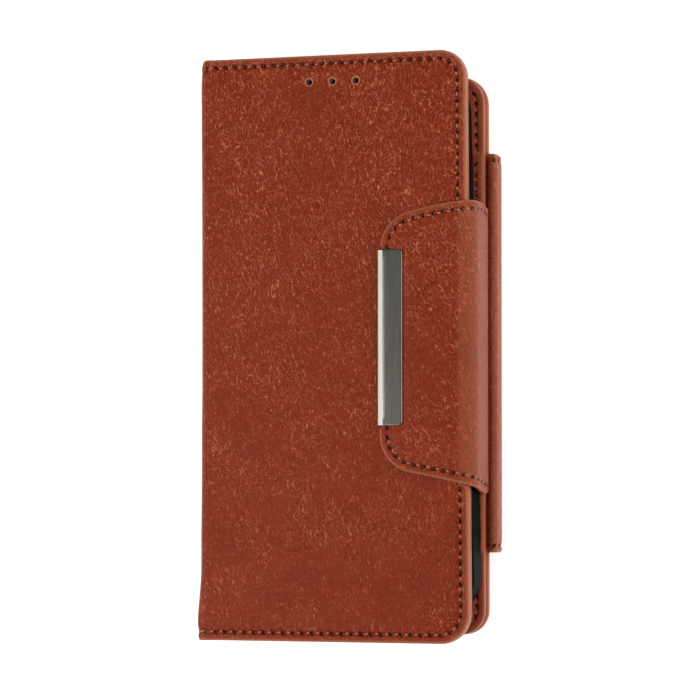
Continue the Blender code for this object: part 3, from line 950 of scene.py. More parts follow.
TAN = ((0.185, 0.0095, 0.001), (0.25, 0.0145, 0.0017), (0.86, 0.26, 0.12))
LINING = ((0.29, 0.037, 0.018), (0.48, 0.074, 0.036), (0.66, 0.25, 0.15))
tan = leather_material("tan_leather_grain", *TAN, 0.36)
tan_strap = leather_material("tan_leather_strap", *TAN, 0.36, turn=-20)
tan_roll = leather_material("tan_leather_rolled", *TAN, 0.38, turn=85)
lining = leather_material("brown_lining_grain", *LINING, 0.5, strength=0.7)
thread = thread_material("tan_thread", (0.7, 0.38, 0.25))
rubber = rubber_material("black_tpu_moulded")
brushed = steel_material("brushed_steel_bar", (0.28, 0.27, 0.235), True, 0.24)
plain_steel = steel_material("rolled_steel", (0.42, 0.42, 0.42), False, 0.4)
nickel = steel_material("magnet_nickel_plate", (0.58, 0.56, 0.52), False, 0.22)
board = board_material("pressed_board")

SLOT_LOOKS = {
    "tan_leather": tan,
    "brown_lining": lining,
    "grey_board": board,
    "black_tpu": rubber,
    "brushed_steel": brushed,
    "plate_steel": plain_steel,
    "magnet_nickel": nickel,
}


def dress_frame():
    """Gives every CAD node the material of its slot."""
    slots = {part["node"]: part["material_slot"] for part in frame["record"]["subparts"]}
    for name, node in frame["nodes"].items():
        for holder in node.material_slots:
            holder.material = SLOT_LOOKS[slots[name]]


def hand_over(piece, slot, bodies, start=None, end=None, nodes=()):
    """Puts a piece in place: parents it to its one body, or bakes its transform when it is given two, and
    hides the CAD nodes it replaces. Its slot is not used.
    """
    if len(bodies) == 1:
        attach(piece, bodies[0])
    else:
        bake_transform(piece)
    if nodes:
        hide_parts(*nodes)


def sewn_panel(name, thread_name, panel, place, look, slot, home, nodes=(), shape=None, thread_shape=None,
               hidden=None, thread_size=None, **settings):
    """A panel and its thread, less any hidden stitches, on the same bodies. Home is what hand_over asks."""
    leather = panel_object(name, panel, place, look, shape, **settings)
    sewing = thread_object(thread_name, panel.stitching, place, thread_shape or shape,
                           **(thread_size or {}))
    if hidden:
        drop_stitches(sewing, hidden)
    hand_over(leather, slot, *home, nodes=nodes)
    hand_over(sewing, slot, *home)


# ---------------------------------------------------------------- front cover and spine

SPINE_X = SPINE_LEFT - 0.3
SPINE_BEND = 2.2
INNER_LEVEL = 19.95
POCKET_LEVEL = 20.16


def spine_ends(level):
    """The spine's lowest and highest Y at a level: it narrows from the front cover to the back cover."""
    share = np.clip((FRONT_HIGH[2] - level) / (FRONT_HIGH[2] - BACK_LOW[2]), 0, 1)
    low = FRONT_LOW[1] + (BACK_LOW[1] - FRONT_LOW[1]) * share
    high = FRONT_HIGH[1] + (BACK_HIGH[1] - FRONT_HIGH[1]) * share
    return low, high


def corner_drop(past, reach=2.4, drop=1.5):
    """How far a leather's end draws in as it goes round the spine's bend."""
    share = np.clip(past / reach, 0, 1)
    return drop * (1 - np.sqrt(1 - share ** 2))


def spine_bow(points):
    """Bows the spine in at its middle, and flares its lower end a little."""
    x, y, z = points.T
    on_spine = smoothstep(-41.0, -42.6, x)
    bow = 0.35 * (1 - (y / 75) ** 2).clip(0, 1) - 0.9 * smoothstep(-64, -80, y)
    points[:, 0] = x + bow * on_spine
    return points


def front_fold():
    """From the cover's right edge over its face, round the spine's bend and down to the split."""
    level = FRONT_HIGH[2]
    face = FRONT_HIGH[0] - (SPINE_X + SPINE_BEND)
    drop = level - SPINE_BEND - SPINE_SPLIT
    moves = [(face, 0), bend(SPINE_BEND, 90), (drop, 0)]
    return Fold((FRONT_HIGH[0], level), 180, moves, "right"), face


def round_spine(fold):
    """A placing along a cover's fold path and round the bowed spine."""
    return lambda *flat: spine_bow(fold.place(*flat))


def spine_shape(face, thinning, level_at, low_y, high_y):
    """A cover's leather as it thins towards the spine and draws in at its ends on the way round."""
    def shape(along, y, depth):
        thin = smoothstep(face - 2.5, face, along)
        depth = np.where(depth > SKIN * 0.5, depth * (1 - thin * thinning), depth)
        low, high = spine_ends(level_at(along))
        high = high - corner_drop(along - face + 0.3)
        share = (y - low_y) / (high_y - low_y)
        return along, low + share * (high - low), depth
    return shape


def earpiece_holes(middle):
    """Three round holes in a row, near the cover's top."""
    spots = [(middle + i * EARPIECE_PITCH, EARPIECE_CENTRE[1]) for i in (-1, 0, 1)]
    return [round_hole(spot, EARPIECE_RADIUS) for spot in spots]


def make_front_cover():
    """The front cover's leather, which goes on round the spine to its middle."""
    fold, face = front_fold()
    corners = [
        (COVER_TAPER, FRONT_LOW[1]), (fold.length, FRONT_LOW[1]), (fold.length, FRONT_HIGH[1]),
        (COVER_NARROWING, FRONT_HIGH[1] + COVER_RAISED)]
    outline = Outline(corners, [COVER_RADIUS, 0, 0, COVER_HIGH_RADIUS], 0.3, open_right=True,
                      across=[(face - 1.5, 0.3), (face + 4.5, 0.12)])
    profile = wrapped_profile(radius=0.85, thickness=COVER_THICKNESS, under=0.5, turn_in=HEM)
    holes = earpiece_holes(FRONT_HIGH[0] - EARPIECE_CENTRE[0])
    panel = Panel(outline, profile, holes, Stitching(outline, STITCH_INSET))
    level_at = lambda along: FRONT_HIGH[2] - np.clip(along - face - 1.7, 0, None)
    shape = spine_shape(face, 1 - FOLD_THICKNESS / COVER_THICKNESS, level_at, FRONT_LOW[1], FRONT_HIGH[1])
    home = (("front_cover", "spine"), (SPINE_X + 2.2, 0, 22.8), (SPINE_X + 1.2, 0, 21.8))
    sewn_panel("front_cover_leather", "front_cover_stitching", panel, round_spine(fold), tan, "tan_leather",
               home, ["front_outer_skin", "spine_skin"], shape)


def make_front_inside():
    """The inside of the front cover: its lining, a money pocket and three card slots."""
    inset = 0.25
    left, right = FRONT_LOW[0] + inset, FRONT_HIGH[0] - inset
    low, high = FRONT_LOW[1] + inset, FRONT_HIGH[1] - inset
    corners = [(left, low), (right - COVER_TAPER, low), (right - COVER_NARROWING, high), (left, high)]
    outline = Outline(corners, [2, COVER_RADIUS - inset, COVER_RADIUS - inset, 2], 0.4)
    profile = slab_profile(radius=0.4, thickness=0.65, under=0.2)
    holes = earpiece_holes(EARPIECE_CENTRE[0])
    panel = Panel(outline, profile, holes, Stitching(outline, STITCH_INSET))

    def hollow(x, y, depth):
        inside = smoothstep(4.6, 5.6, outline.depth(x, y))
        return x, y, depth + inside * np.where(depth > 0.5, 0.45, 0.5)

    leather = panel_object("front_cover_lining", panel, flat_place(INNER_LEVEL, -1), lining, hollow, seed=1.0)
    hand_over(leather, "brown_lining", ["front_cover"], nodes=["front_lining"])
    sewing = thread_object("front_lining_stitching", panel.stitching, flat_place(INNER_LEVEL, -1))
    hand_over(sewing, "brown_lining", ["front_cover"])

    pocket_low, pocket_high = box_mm("money_pocket")
    corners = rectangle(pocket_low[0] + 3, pocket_high[0] - 2, pocket_low[1], pocket_high[1])
    sheet = Outline(corners, [4, 4, 4, 4], 0.6)
    profile = slab_profile(radius=0.12, thickness=0.28, under=0.08)
    panel = Panel(sheet, profile, (), Stitching(sheet, 2.4, valley=0.06))
    pocket = panel_object("money_pocket_sheet", panel, flat_place(POCKET_LEVEL, -1), lining, seed=2.0)
    hand_over(pocket, "brown_lining", ["front_cover"], nodes=["money_pocket"])
    for i in (1, 2, 3):
        make_card_slot(f"card_slot_{i}", "front_cover", -1, 3.0 + i)


def make_card_slot(node, body, up, seed):
    """One card slot: a strip of leather with rounded edges and a sewn line along them."""
    low, high = box_mm(node)
    level = high[2] if up > 0 else low[2]
    outline = Outline(rectangle(low[0], high[0], low[1], high[1]), [1.5] * 4, 0.5)
    thickness = min(high[2] - low[2], 0.3)
    rings = (3.2, 2.4, 2.0, 1.6, 1.2, 0.8)
    profile = slab_profile(radius=0.14, thickness=thickness, under=0.1, rings=rings)
    panel = Panel(outline, profile, (), Stitching(outline, 1.6, valley=0.05))
    sewn_panel(node + "_leather", node + "_stitching", panel, flat_place(level, up), tan, "tan_leather",
               ([body],), [node], seed=seed, thread_size={"gauge": 0.16, "crown": 0.04})


# ---------------------------------------------------------------- back cover

BACK_BEND = 2.0
BACK_THINNING = 0.6


def make_back_outside():
    """The back cover's outer leather, round the spine's lower bend and up to the split."""
    level = BACK_LOW[2]
    edge = BACK_HIGH[0] + BACK_REACH
    face = edge - (SPINE_X + BACK_BEND)
    rise = SPINE_SPLIT - level - BACK_BEND
    fold = Fold((edge, level), 180, [(face, 0), bend(BACK_BEND, -90), (rise, 0)], "left")
    outline = fold_outline(fold, BACK_LOW[1], BACK_HIGH[1], (BACK_LOW_RADIUS, BACK_HIGH_RADIUS), 0.4,
                           [(face - 1.5, 0.4), (face + 4.0, 0.12)])
    left, right, low, high = WINDOW
    hole = window_hole(edge - right, edge - left, low, high, WINDOW_RADIUS)
    profile = wrapped_profile(radius=0.5, thickness=LAYER_THICKNESS, under=0.8, turn_in=HEM)
    panel = Panel(outline, profile, [hole], Stitching(outline, STITCH_INSET))
    level_at = lambda along: level + np.clip(along - face - 1.5, 0, None)
    shape = spine_shape(face, BACK_THINNING, level_at, BACK_LOW[1], BACK_HIGH[1])
    home = (("back_cover", "spine"), (SPINE_X + 2.0, 0, 6.6), (SPINE_X + 1.0, 0, 7.6))
    sewn_panel("back_cover_leather", "back_cover_stitching", panel, round_spine(fold), tan, "tan_leather",
               home, ["back_outer_skin"], shape, joins=front_fold()[0].length)


def make_back_inside():
    """The back cover's inner layer, which the tray is glued to."""
    corners = rectangle(LINING_LOW[0], LINING_HIGH[0] + BACK_REACH, LINING_LOW[1], LINING_HIGH[1])
    outline = Outline(corners, [2, BACK_LOW_RADIUS, BACK_HIGH_RADIUS, 2], 0.32)
    profile = wrapped_profile(radius=0.45, thickness=LAYER_THICKNESS, under=0.8, turn_in=HEM)
    hole = window_hole(*WINDOW, WINDOW_RADIUS)
    panel = Panel(outline, profile, [hole], Stitching(outline, STITCH_INSET))
    sewn_panel("back_cover_inner_leather", "back_inner_stitching", panel, flat_place(LINING_HIGH[2], 1),
               lining, "brown_lining", (["back_cover"],), ["back_lining"], seed=8.0)


def make_spine_lining():
    """The lining inside the spine, in two halves, one towards each cover."""
    low, high = box_mm("spine_lining")
    inner_x, hem, radius = high[0], 3.1, 1.5
    start_x = inner_x + radius + hem
    for name, level, turn, outward, body, split in (
        ("spine_lining_front", 20.25, 90, "left", "front_cover", -1),
        ("spine_lining_back", 10.75, -90, "right", "back_cover", 1),
    ):
        run = abs(SPINE_SPLIT - level) - radius
        fold = Fold((start_x, level), 180, [(hem, 0), bend(radius, turn), (run, 0)], outward)
        corners = rectangle(0, fold.length, low[1], high[1])
        outline = Outline(corners, [0.6, 0, 0, 0.6], 0.35, open_right=True,
                          across=[(hem - 0.4, 0.3), (hem + 3.0, 0.12)])
        panel = Panel(outline, slab_profile(radius=0.15, thickness=0.45, under=0.1, rings=(2.4, 1.2, 0.6)))
        cloth = panel_object(name, panel, fold.place, lining, seed=9.0 + split)
        start = (inner_x + radius, 0, level)
        end = (inner_x, 0, level + split * radius)
        nodes = ["spine_lining"] if split < 0 else []
        hand_over(cloth, "brown_lining", (body, "spine"), start, end, nodes)


# ---------------------------------------------------------------- tray

TRAY_SKEW = math.radians(1.2)
TRAY_SIZE = (75.5, 151.4)
TRAY_RADIUS = 9.0
RIB_PITCH = 0.82
RIB_DEPTH = 0.3
RIB_ENDS = (-55.6, -22.0)
PORT = (6.5, 13.4, 18.4)


def tray_profile():
    """From the tray's floor up its inner wall, over the lip and down the outside, as insets and levels."""
    floor, top, bottom = TRAY_LOW[2] + 1.2, TRAY_HIGH[2], TRAY_LOW[2]
    inside = [(3.6, floor), (2.4, floor), (1.8, floor + 0.15), (1.45, floor + 0.5), (1.3, floor + 1.1),
              (1.3, top - 1.4), (1.35, top - 0.95)]
    lip = [(1.6, top - 0.75), (1.7, top - 0.45), (1.6, top - 0.15), (1.3, top), (0.6, top),
           (0.25, top - 0.12), (0.05, top - 0.4), (0.0, top - 0.8)]
    outside = [(0.0, top - 1.3), (0.0, top - 3.0), (0.0, bottom + 4.0), (0.0, bottom + 2.4)]
    foot = [(0.06, bottom + 1.5), (0.25, bottom + 0.75), (0.6, bottom + 0.25), (1.1, bottom), (3.6, bottom)]
    return inside + lip + outside + foot


def make_tray():
    """The flexible phone tray, with a rounded lip, grip ribs on its long walls and its openings."""
    width, height = TRAY_SIZE
    x, y = (TRAY_LOW + TRAY_HIGH)[:2] / 2
    low_rib, high_rib = RIB_ENDS[0] - y, RIB_ENDS[1] - y
    corners = rectangle(-width / 2, width / 2, -height / 2, height / 2)
    outline = Outline(corners, [TRAY_RADIUS] * 4, 0.6, along=[(low_rib, 0.6), (high_rib, RIB_PITCH / 6)])
    cos, sin = math.cos(TRAY_SKEW), math.sin(TRAY_SKEW)
    left, right, low, high = WINDOW
    camera = window_hole(left - x, right - x, low - y, high - y, WINDOW_RADIUS)
    turned = lambda grow: (camera.grown(grow) @ np.array([[cos, -sin], [sin, cos]]))
    profile = [(inset, TRAY_HIGH[2] - level) for inset, level in tray_profile()]
    first = profile[0][1]
    panel = Panel(outline, [(inset, depth - first) for inset, depth in profile], [Hole(turned)])
    mesh = mesh_from(panel.to_bmesh(), "phone_tray_moulding")
    px, py, depth = read_points(mesh).T.copy()
    level = TRAY_HIGH[2] - (depth + first)
    on_wall = (np.abs(px) > width / 2 - 0.15) & (level > TRAY_LOW[2] + 1.4) & (level < TRAY_HIGH[2] - 1.2)
    ribbed = smoothstep(low_rib, low_rib + 0.6, py) * smoothstep(high_rib, high_rib - 0.6, py)
    wave = 0.5 + 0.5 * np.cos(2 * math.pi * py / RIB_PITCH)
    px = px + np.where(on_wall, np.sign(px) * RIB_DEPTH * wave * ribbed, 0)
    write_points(mesh, np.stack([x + px * cos - py * sin, y + px * sin + py * cos, level], 1))
    mesh.materials.append(rubber)
    mesh.shade_smooth()
    tray = add_object("phone_tray_moulding", mesh)
    cut_port(tray, y - height / 2)
    tray.data.set_sharp_from_angle(angle=SHARP_ANGLE)
    hand_over(tray, "black_tpu", ["back_cover"], nodes=["phone_tray"])


def cut_port(tray, wall_y):
    """Cuts the charging slot through the tray's low wall."""
    half, low, high = PORT
    ring = Outline(rectangle(-half, half, low, high), [1.6] * 4, 0.5).ring(0)
    work = bmesh.new()
    loops = [[work.verts.new((x * MM, y * MM, z * MM)) for x, z in ring] for y in (wall_y - 3, wall_y + 4)]
    for i in range(len(ring)):
        work.faces.new((loops[0][i - 1], loops[0][i], loops[1][i], loops[1][i - 1]))
    work.faces.new(loops[0])
    work.faces.new(loops[1])
    bmesh.ops.recalc_face_normals(work, faces=work.faces)
    cutter = add_object("port_cutter", mesh_from(work, "port_cutter"))
    step = tray.modifiers.new("port", "BOOLEAN")
    step.operation, step.object, step.solver = "DIFFERENCE", cutter, "EXACT"
    bpy.context.view_layer.update()
    result = bpy.data.meshes.new_from_object(tray.evaluated_get(bpy.context.evaluated_depsgraph_get()))
    tray.modifiers.clear()
    tray.data = result
    bpy.data.objects.remove(cutter)


# ---------------------------------------------------------------- strap

STRAP_BEND = 4.9
STRAP_THICK = 1.6
STRAP_RADIUS = 11
STRAP_X = STRAP_RIGHT
BAR_SPAN = (BAR_LOW[1] - 0.2, BAR_HIGH[1] + 0.2)
NOSE_LEAN = 18
NOSE_BEND = 0.4
NOSE_FACET = 1.35


def strap_fold():
    """From the strap's end over the front, round the crease and down the side to the split."""
    level = STRAP_HIGH[2]
    flat = STRAP_X - STRAP_BEND - STRAP_LOW[0]
    drop = level - STRAP_BEND - STRAP_SPLIT
    moves = [(flat, 0), bend(STRAP_BEND, -90), (drop, 0)]
    return Fold((STRAP_LOW[0], level), 0, moves, "left"), flat


STRAP_CREASE = (-39.0, 41.4)
STRAP_END = (-34.0, 36.9)
STRAP_ROOT = (-41.4, 41.2)


def strap_outline(fold, flat, spacing, bend_spacing):
    """The strap's flat cut: a rounded end that widens towards the crease."""
    length = fold.length
    slope_low = (STRAP_ROOT[0] - STRAP_END[0]) / length
    slope_high = (STRAP_CREASE[1] - STRAP_END[1]) / (flat + 3)
    corners = [
        (0.0, STRAP_END[0]), (length, STRAP_END[0] + slope_low * length),
        (length, STRAP_END[1] + slope_high * length), (0.0, STRAP_END[1])]
    return Outline(corners, [STRAP_RADIUS, 0, 0, STRAP_RADIUS], spacing, open_right=True,
                   across=[(flat - 1, spacing), (flat + 8.5, bend_spacing)])


def strap_shape(flat):
    """The strap's curved upper edge, its thin crease, and the squeeze inside the steel bar."""
    def shape(along, y, depth):
        slope = (STRAP_CREASE[1] - STRAP_END[1]) / (flat + 3)
        drawn = STRAP_END[1] + slope * along
        wanted = np.where(along < flat + 3, drawn, STRAP_CREASE[1] - 0.02 * (along - flat - 3))
        wanted = wanted + 0.55 * bump_at(along, 17, 8)
        corner = np.clip((along - (flat + 11)) / 4.5, 0, 1)
        wanted = wanted - 1.5 * corner ** 2.4
        lower = 1 + 0.012 * bump_at(along, flat + 14, 7)
        y = np.where(y > 0, y * wanted / drawn, y * lower)
        inside = smoothstep(9.0, 7.6, along) * smoothstep(BAR_SPAN[0] - 1.2, BAR_SPAN[0], y)
        inside = inside * smoothstep(BAR_SPAN[1] + 1.2, BAR_SPAN[1], y)
        squeezed = 0.12 + depth * (1.55 / 2.2)
        depth = depth + (squeezed - depth) * inside
        crease = smoothstep(flat - 1, flat + 1.5, along) * smoothstep(flat + 12, flat + 9, along)
        depth = depth * (1 - 0.25 * crease)
        along = along + inside * 0.7 * smoothstep(1.2, 0.0, along)
        return along, y, depth
    return shape


def make_strap():
    """The closing strap's leather and lining, from its end to the side."""
    fold, flat = strap_fold()
    outline = strap_outline(fold, flat, 0.3, 0.165)
    profile = slab_profile(radius=0.75, thickness=STRAP_THICK, under=0.35)
    panel = Panel(outline, profile, (), Stitching(outline, STITCH_INSET, valley=0.2))
    shape = strap_shape(flat)
    # Painted light: the strap's side past the crease is lightened for the light it catches, along with
    # stretched leather
    crease_stretch_and_light = lambda along: 0.3 * smoothstep(flat - 0.6, flat + 1.2, along)
    home = (("strap_tip", "strap_side"), (37.65, 0, 25.15), (40.6, 0, 22.2))
    sewn_panel("strap_leather", "strap_stitching", panel, fold.place, tan_strap, "tan_leather", home,
               ["strap_tip_skin", "strap_side_skin"], shape, hidden=under_bar, seed=4.0, worn=crease_stretch_and_light)

    def under(along, y, depth):
        crease = smoothstep(flat - 2, flat + 2, along)
        return shape(along, y, STRAP_THICK + 0.04 + depth * (1 - 0.8 * crease))

    lining_profile = ((BORDER, 0), (2.0, 0), (0.5, 0), (0.3, 0.05), (0.25, 0.2), (0.35, 0.42), (0.6, 0.5),
                      (BORDER, 0.5))
    panel = Panel(strap_outline(fold, flat, 0.5, 0.25), lining_profile)
    backing = panel_object("strap_lining", panel, fold.place, lining, under, seed=5.0)
    hand_over(backing, "brown_lining", *home, nodes=["strap_tip_lining", "strap_side_lining"])


def drop_stitches(sewing, hidden):
    """Removes each stitch that has a point for which hidden is true."""
    work = bmesh.new()
    work.from_mesh(sewing.data)
    doomed = set()
    for vert in work.verts:
        if vert in doomed or not hidden(vert.co):
            continue
        stack = [vert]
        while stack:
            here = stack.pop()
            if here not in doomed:
                doomed.add(here)
                stack.extend(edge.other_vert(here) for edge in here.link_edges)
    bmesh.ops.delete(work, geom=list(doomed), context="VERTS")
    work.to_mesh(sewing.data)
    work.free()


def under_bar(co):
    """True for a place under the steel bar."""
    x, y = co.x / MM, co.y / MM
    return x < BAR_HIGH[0] and BAR_SPAN[0] - 2 < y < BAR_SPAN[1] + 2


def make_strap_root():
    """The strap's root: it turns in over the back cover's rim and goes under the tray."""
    moves = [(0.9, 0), bend(2.3, -80), (1.0, -10), (1.8, 0)]
    fold = Fold((STRAP_X, STRAP_SPLIT), -90, moves, "left")
    total = fold.length
    _, end_x, end_z, end_angle = fold.rows[-1]
    moves_back = [(length, -turn) for length, turn in reversed(moves)]
    back = Fold((end_x, end_z), math.degrees(end_angle) + 180, moves_back, "right")
    outline = fold_outline(fold, STRAP_ROOT[0] - 0.1, STRAP_CREASE[1] - 1.5, (1.5, 1.5), 0.35,
                           [(1.5, 0.35), (total - 0.3, 0.14)])
    panel = Panel(outline, slab_profile(radius=0.3, thickness=1.0, under=0.2, rings=(2.4, 1.6, 0.8)))

    def shape(along, y, depth):
        thickness = 0.32 + 1.35 * smoothstep(1.5, total - 1.2, along)
        return along, y, depth * thickness

    leather = panel_object("strap_root_leather", panel, back.place, tan, shape, seed=4.5)
    hand_over(leather, "tan_leather", ("back_cover", "strap_side"), (39.2, 0, 12.0), (40.4, 0, 13.2))


def make_bar():
    """The brushed steel strip folded round the strap's end, with a slightly flattened nose."""
    half = (BAR_HIGH[2] - BAR_LOW[2]) / 2
    sin, cos = math.sin(math.radians(NOSE_LEAN)), math.cos(math.radians(NOSE_LEAN))
    tight = (half - NOSE_BEND * (1 - cos) - NOSE_FACET * sin) / cos
    nose = NOSE_BEND * sin + NOSE_FACET * cos + tight * (1 - sin)
    straight = BAR_HIGH[0] - 0.3 - BAR_LOW[0] - nose
    fold = Fold((BAR_HIGH[0] - 0.7, BAR_HIGH[2]), 180, [
        (straight, 0), bend(NOSE_BEND, NOSE_LEAN), (NOSE_FACET, 0), bend(tight, 180 - 2 * NOSE_LEAN),
        (NOSE_FACET, 0), bend(NOSE_BEND, NOSE_LEAN), (straight, 0)], "right")
    corners = rectangle(0, fold.length, BAR_LOW[1], BAR_HIGH[1] - 0.35)
    outline = Outline(corners, [1.1] * 4, 0.3,
                      across=[(straight - 0.3, 0.3), (fold.length - straight + 0.3, 0.07)])
    panel = Panel(outline, slab_profile(radius=0.25, thickness=0.45, under=0.1, rings=(2.0, 1.4, 0.9, 0.5)))
    bar = panel_object("steel_bar", panel, fold.place, brushed, waviness=0.0)
    hand_over(bar, "brushed_steel", ["strap_tip"], nodes=["metal_bar"])


# ---------------------------------------------------------------- wallet leaf and its rolled hinge

ROLL_BEND = 5.3
ROLL_THICK = 1.5
ROLL_SEED = 2.2
# How much lighter the rolled leather is: painted light for the haze and side light it catches, along with
# stretch
ROLL_STRETCH_AND_LIGHT = 0.48
ROLL_X = ROLL_RIGHT + 0.15
ROLL_TOP = LEAF_HIGH[1] - 0.5
GROOVE_DEPTH = 2.2
ROLL_RISE = 70


def roll_wrinkles(along, y, depth, begin, end, seed):
    """Fine wrinkles across the rolled leather, and its rounded upper end."""
    on_roll = smoothstep(begin, begin + 1.5, along) * smoothstep(end, end - 1.0, along)
    coarse = np.array([noise.noise(Vector((a * 0.32, b * 1.15, seed))) for a, b in zip(along, y)])
    fine = np.array([noise.noise(Vector((a * 0.5, b * 2.3, seed + 5))) for a, b in zip(along, y)])
    ripple = coarse + 0.5 * fine
    ends = smoothstep(LEAF_LOW[1] + 2.5, LEAF_LOW[1] + 6, y) * smoothstep(ROLL_TOP - 3, ROLL_TOP - 6, y)
    past = np.clip((y - (ROLL_TOP - 2.0)) / 2.0, 0, 1)
    drawn_in = 1.1 * (1 - np.sqrt(np.clip(1 - past ** 2, 0, 1)))
    return depth - on_roll * 0.17 * ripple * ends + drawn_in * on_roll


def make_leaf():
    """The third panel's leather, which goes on round the rolled hinge to its middle."""
    face = ROLL_X - ROLL_BEND - LEAF_LOW[0]
    fold = Fold((LEAF_LOW[0], LEAF_LOW[2]), 0, [(face, 0), bend(ROLL_BEND, 90)], "right")
    outline = fold_outline(fold, LEAF_LOW[1], ROLL_TOP, (8, 8), 0.36,
                           [(face - 1, 0.36), (fold.length - 0.5, 0.14)])
    profile = wrapped_profile(radius=0.9, thickness=LEAF_THICKNESS, under=0.4, turn_in=7.0)
    panel = Panel(outline, profile, (), Stitching(outline, LEAF_STITCH_INSET))

    def shape(along, y, depth):
        thin = smoothstep(face - 3.5, face - 0.5, along)
        thinned = depth * (1 - thin * (1 - ROLL_THICK / LEAF_THICKNESS))
        depth = np.where(depth > SKIN * 0.5, thinned, depth)
        wrinkled = roll_wrinkles(along, y, depth, face + 2, fold.length + 9, ROLL_SEED)
        return along, y, np.maximum(wrinkled, 0.0)

    # Painted light on the leather round the roll, along with stretch
    stretched = lambda along: ROLL_STRETCH_AND_LIGHT * smoothstep(face + 1, face + 6, along)
    home = (("wallet_leaf", "wallet_hinge"), (38.4, 0, 1.0), (41.2, 0, 3.8))
    sewn_panel("wallet_leaf_leather", "wallet_leaf_stitching", panel, fold.place, tan, "tan_leather", home,
               ["leaf_outer_skin", "wallet_hinge_skin", "wallet_hinge_lining"], shape,
               thread_shape=lambda along, y, depth: (along, y, np.maximum(depth, 0.0)), seed=6.0,
               worn=stretched)


def roll_fold():
    """From the groove between the back cover's layers round the roll to its middle."""
    groove = LINING_LOW[2] - 0.06
    rim = LINING_HIGH[0] + BACK_REACH + 0.15
    rise = math.radians(ROLL_RISE)
    radius = (ROLL_X - rim - 0.35 * math.sin(rise)) / (1 + math.sin(rise))
    top = groove + (radius + 0.35) * (1 - math.cos(rise))
    return Fold((rim - GROOVE_DEPTH, groove), 0, [
        (GROOVE_DEPTH, 0), bend(0.35, ROLL_RISE), bend(radius, -90 - ROLL_RISE),
        (top - radius - ROLL_SPLIT, 0)], "left")


def make_roll():
    """The upper half of the rolled hinge, which comes out of the groove between the back cover's layers."""
    fold = roll_fold()
    outline = fold_outline(fold, LEAF_LOW[1], ROLL_TOP, (0.4, 0.4), 0.34,
                           [(GROOVE_DEPTH, 0.34), (fold.length - 0.4, 0.16)])
    stitching = Stitching(outline, LEAF_STITCH_INSET, only_arms=True)
    panel = Panel(outline, slab_profile(radius=0.1, thickness=1.0, under=0.08), (), stitching)

    def wrinkled(along, y, depth):
        return along, y, roll_wrinkles(along, y, depth, GROOVE_DEPTH, fold.length + 9, ROLL_SEED)

    def shape(along, y, depth):
        hidden = smoothstep(GROOVE_DEPTH + 1.6, GROOVE_DEPTH - 0.2, along)
        full = 1.2 * depth
        depth = np.where(depth > 0.5, full * (1 - 0.82 * hidden), depth * (1 - hidden))
        return wrinkled(along, y, depth)

    # Painted light on the rolled leather, along with stretch
    stretched = lambda along: ROLL_STRETCH_AND_LIGHT * smoothstep(GROOVE_DEPTH, GROOVE_DEPTH + 2, along)
    home = (("wallet_hinge", "back_cover"), (42.4, 0, 6.6), (40.2, 0, 8.3))
    in_groove = lambda co: co.x < (LINING_HIGH[0] + 0.3) * MM
    sewn_panel("rolled_hinge_leather", "rolled_hinge_stitching", panel, fold.place, tan_roll, "tan_leather",
               home, (), shape, thread_shape=wrinkled, hidden=in_groove, seed=6.0, worn=stretched)


def make_hinge_patches():
    """The leather reinforcements on the back cover's inner face, above and below the strap's root."""
    right = LINING_HIGH[0] + BACK_REACH - 0.45
    place = flat_place(TRAY_LOW[2] - 0.02, 1)
    rings = (3.0, 2.6, 2.3, 2.1, 1.9, 1.6, 1.2)
    profile = slab_profile(radius=0.12, thickness=0.26, under=0.08, rings=rings)
    for name, low, high in (("upper", STRAP_CREASE[1] - 0.5, LEAF_HIGH[1]),
                            ("lower", LEAF_LOW[1], STRAP_ROOT[0] - 0.4)):
        outline = Outline(rectangle(right - 6, right, low, high), [0.5] * 4, 0.3)
        panel = Panel(outline, profile, (), Stitching(outline, 2.1, valley=0.05))
        sewn_panel(name + "_hinge_patch", name + "_patch_stitching", panel, place, lining, "tan_leather",
                   (["back_cover"],), seed=8.5, hidden=lambda co: co.x < (right - 3.0) * MM,
                   thread_size={"gauge": 0.18, "crown": 0.04})


def make_leaf_inside():
    """The leaf's inner lining, its pocket and its card slots."""
    low, high = box_mm("leaf_pocket")
    lining_low, lining_high = box_mm("leaf_lining")
    flat = lining_high[0] - lining_low[0] - 0.1
    fold = Fold((lining_low[0], low[2] - 0.03), 0, [(flat, 0), bend(0.4, -90), (1.45, 0)], "left")
    cut = Outline(rectangle(0, fold.length, lining_low[1], lining_high[1]), [6.5, 0.6, 0.6, 6.5], 0.6,
                  across=[(flat - 0.3, 0.6), (flat + 0.9, 0.1)])
    panel = Panel(cut, slab_profile(radius=0.1, thickness=0.24, under=0.08, rings=(1.0, 0.5)))
    sheet = panel_object("leaf_lining_cloth", panel, fold.place, lining, seed=10.5, waviness=0.2)
    hand_over(sheet, "brown_lining", ["wallet_leaf"], nodes=["leaf_lining"])
    outline = Outline(rectangle(low[0], high[0] - 1.5, low[1], high[1]), [7.5, 2.5, 2.5, 7.5], 0.5)
    profile = slab_profile(radius=0.2, thickness=0.5, under=0.12)
    panel = Panel(outline, profile, (), Stitching(outline, LEAF_STITCH_INSET, valley=0.06))
    sewn_panel("leaf_pocket_sheet", "leaf_pocket_stitching", panel, flat_place(high[2], 1), lining,
               "brown_lining", (["wallet_leaf"],), ["leaf_pocket"], seed=10.0)
    for i in (1, 2, 3):
        make_card_slot(f"leaf_card_slot_{i}", "wallet_leaf", 1, 11.0 + i)


# ---------------------------------------------------------------- stage, lights and camera

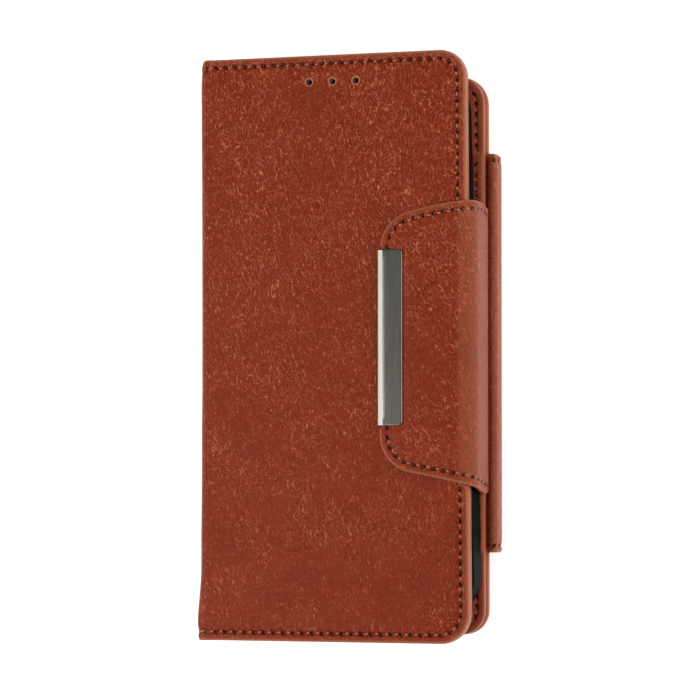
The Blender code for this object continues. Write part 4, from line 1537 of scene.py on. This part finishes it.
CAMERA_YAW = 20.2
CAMERA_PITCH = 1.95
CAMERA_LENS = 187.0
CAMERA_PLACE = (362.9, -36.1, 1000.5)
SOFTBOXES = (  # name, place, target and size in mm, and power in watts
    ("side_softbox", (610, 60, 200), (30, 0, 12), (420, 300), 1.25),
    ("broad_softbox", (430, 60, 680), (30, 0, 12), (620, 800), 1.55),
    ("left_softbox", (-560, 20, 420), (-10, 0, 20), (320, 420), 1.25),
    ("haze_softbox", (-640, -240, 900), (-20, -40, 20), (240, 260), 5.4),
)


def area_light(name, place, target, size, power):
    """A soft rectangular light aimed at a point, in mm."""
    data = bpy.data.lights.new(name, "AREA")
    data.shape, data.size, data.size_y = "RECTANGLE", size[0] * MM, size[1] * MM
    data.energy = power
    light = add_object(name, data)
    light.location = Vector(place) * MM
    light.rotation_euler = (Vector(target) - Vector(place)).to_track_quat("-Z", "Y").to_euler()


def make_stage():
    """A flat, pale floor that glows a little, a dim world and four soft lights."""
    work = bmesh.new()
    bmesh.ops.create_grid(work, x_segments=8, y_segments=8, size=3.0)
    floor = add_object("floor", mesh_from(work, "floor"))
    floor.location.z = -0.05 * MM
    material, nodes = new_material("pale_floor", 0.9, specular=0.0)
    nodes.shader.inputs["Base Color"].default_value = (0.7, 0.7, 0.7, 1.0)
    nodes.shader.inputs["Emission Color"].default_value = (1.0, 1.0, 1.0, 1.0)
    nodes.shader.inputs["Emission Strength"].default_value = 0.75
    floor.data.materials.append(material)

    world = bpy.data.worlds.new("studio")
    world.use_nodes = True
    backdrop = world.node_tree.nodes["Background"]
    backdrop.inputs["Color"].default_value = (1.0, 0.99, 0.98, 1.0)
    backdrop.inputs["Strength"].default_value = 0.14
    bpy.context.scene.world = world

    for light in SOFTBOXES:
        area_light(*light)


def make_camera():
    """The photographer's view: from above the open side, turned about 20 degrees from the front."""
    yaw, pitch = math.radians(CAMERA_YAW), math.radians(CAMERA_PITCH)
    right = Vector((math.cos(yaw), 0, -math.sin(yaw)))
    level_back = Vector((math.sin(yaw), 0, math.cos(yaw)))
    along = Vector((0, 1, 0))
    back = (level_back * math.cos(pitch) - along * math.sin(pitch)).normalized()
    up = back.cross(right)
    data = bpy.data.cameras.new("camera")
    data.sensor_width, data.lens = 36, CAMERA_LENS
    data.clip_start, data.clip_end = 0.05, 20
    camera = add_object("camera", data)
    turn = Matrix((right, up, back)).transposed().to_4x4()
    camera.matrix_world = Matrix.Translation(Vector(CAMERA_PLACE) * MM) @ turn
    bpy.context.scene.camera = camera


# ---------------------------------------------------------------- main

dress_frame()
make_camera()
make_stage()
make_front_cover()
make_front_inside()
make_back_outside()
make_back_inside()
make_spine_lining()
make_tray()
make_leaf()
make_leaf_inside()
make_roll()
make_hinge_patches()
make_strap()
make_strap_root()
make_bar()

bpy.context.scene.view_settings.view_transform = "Standard"
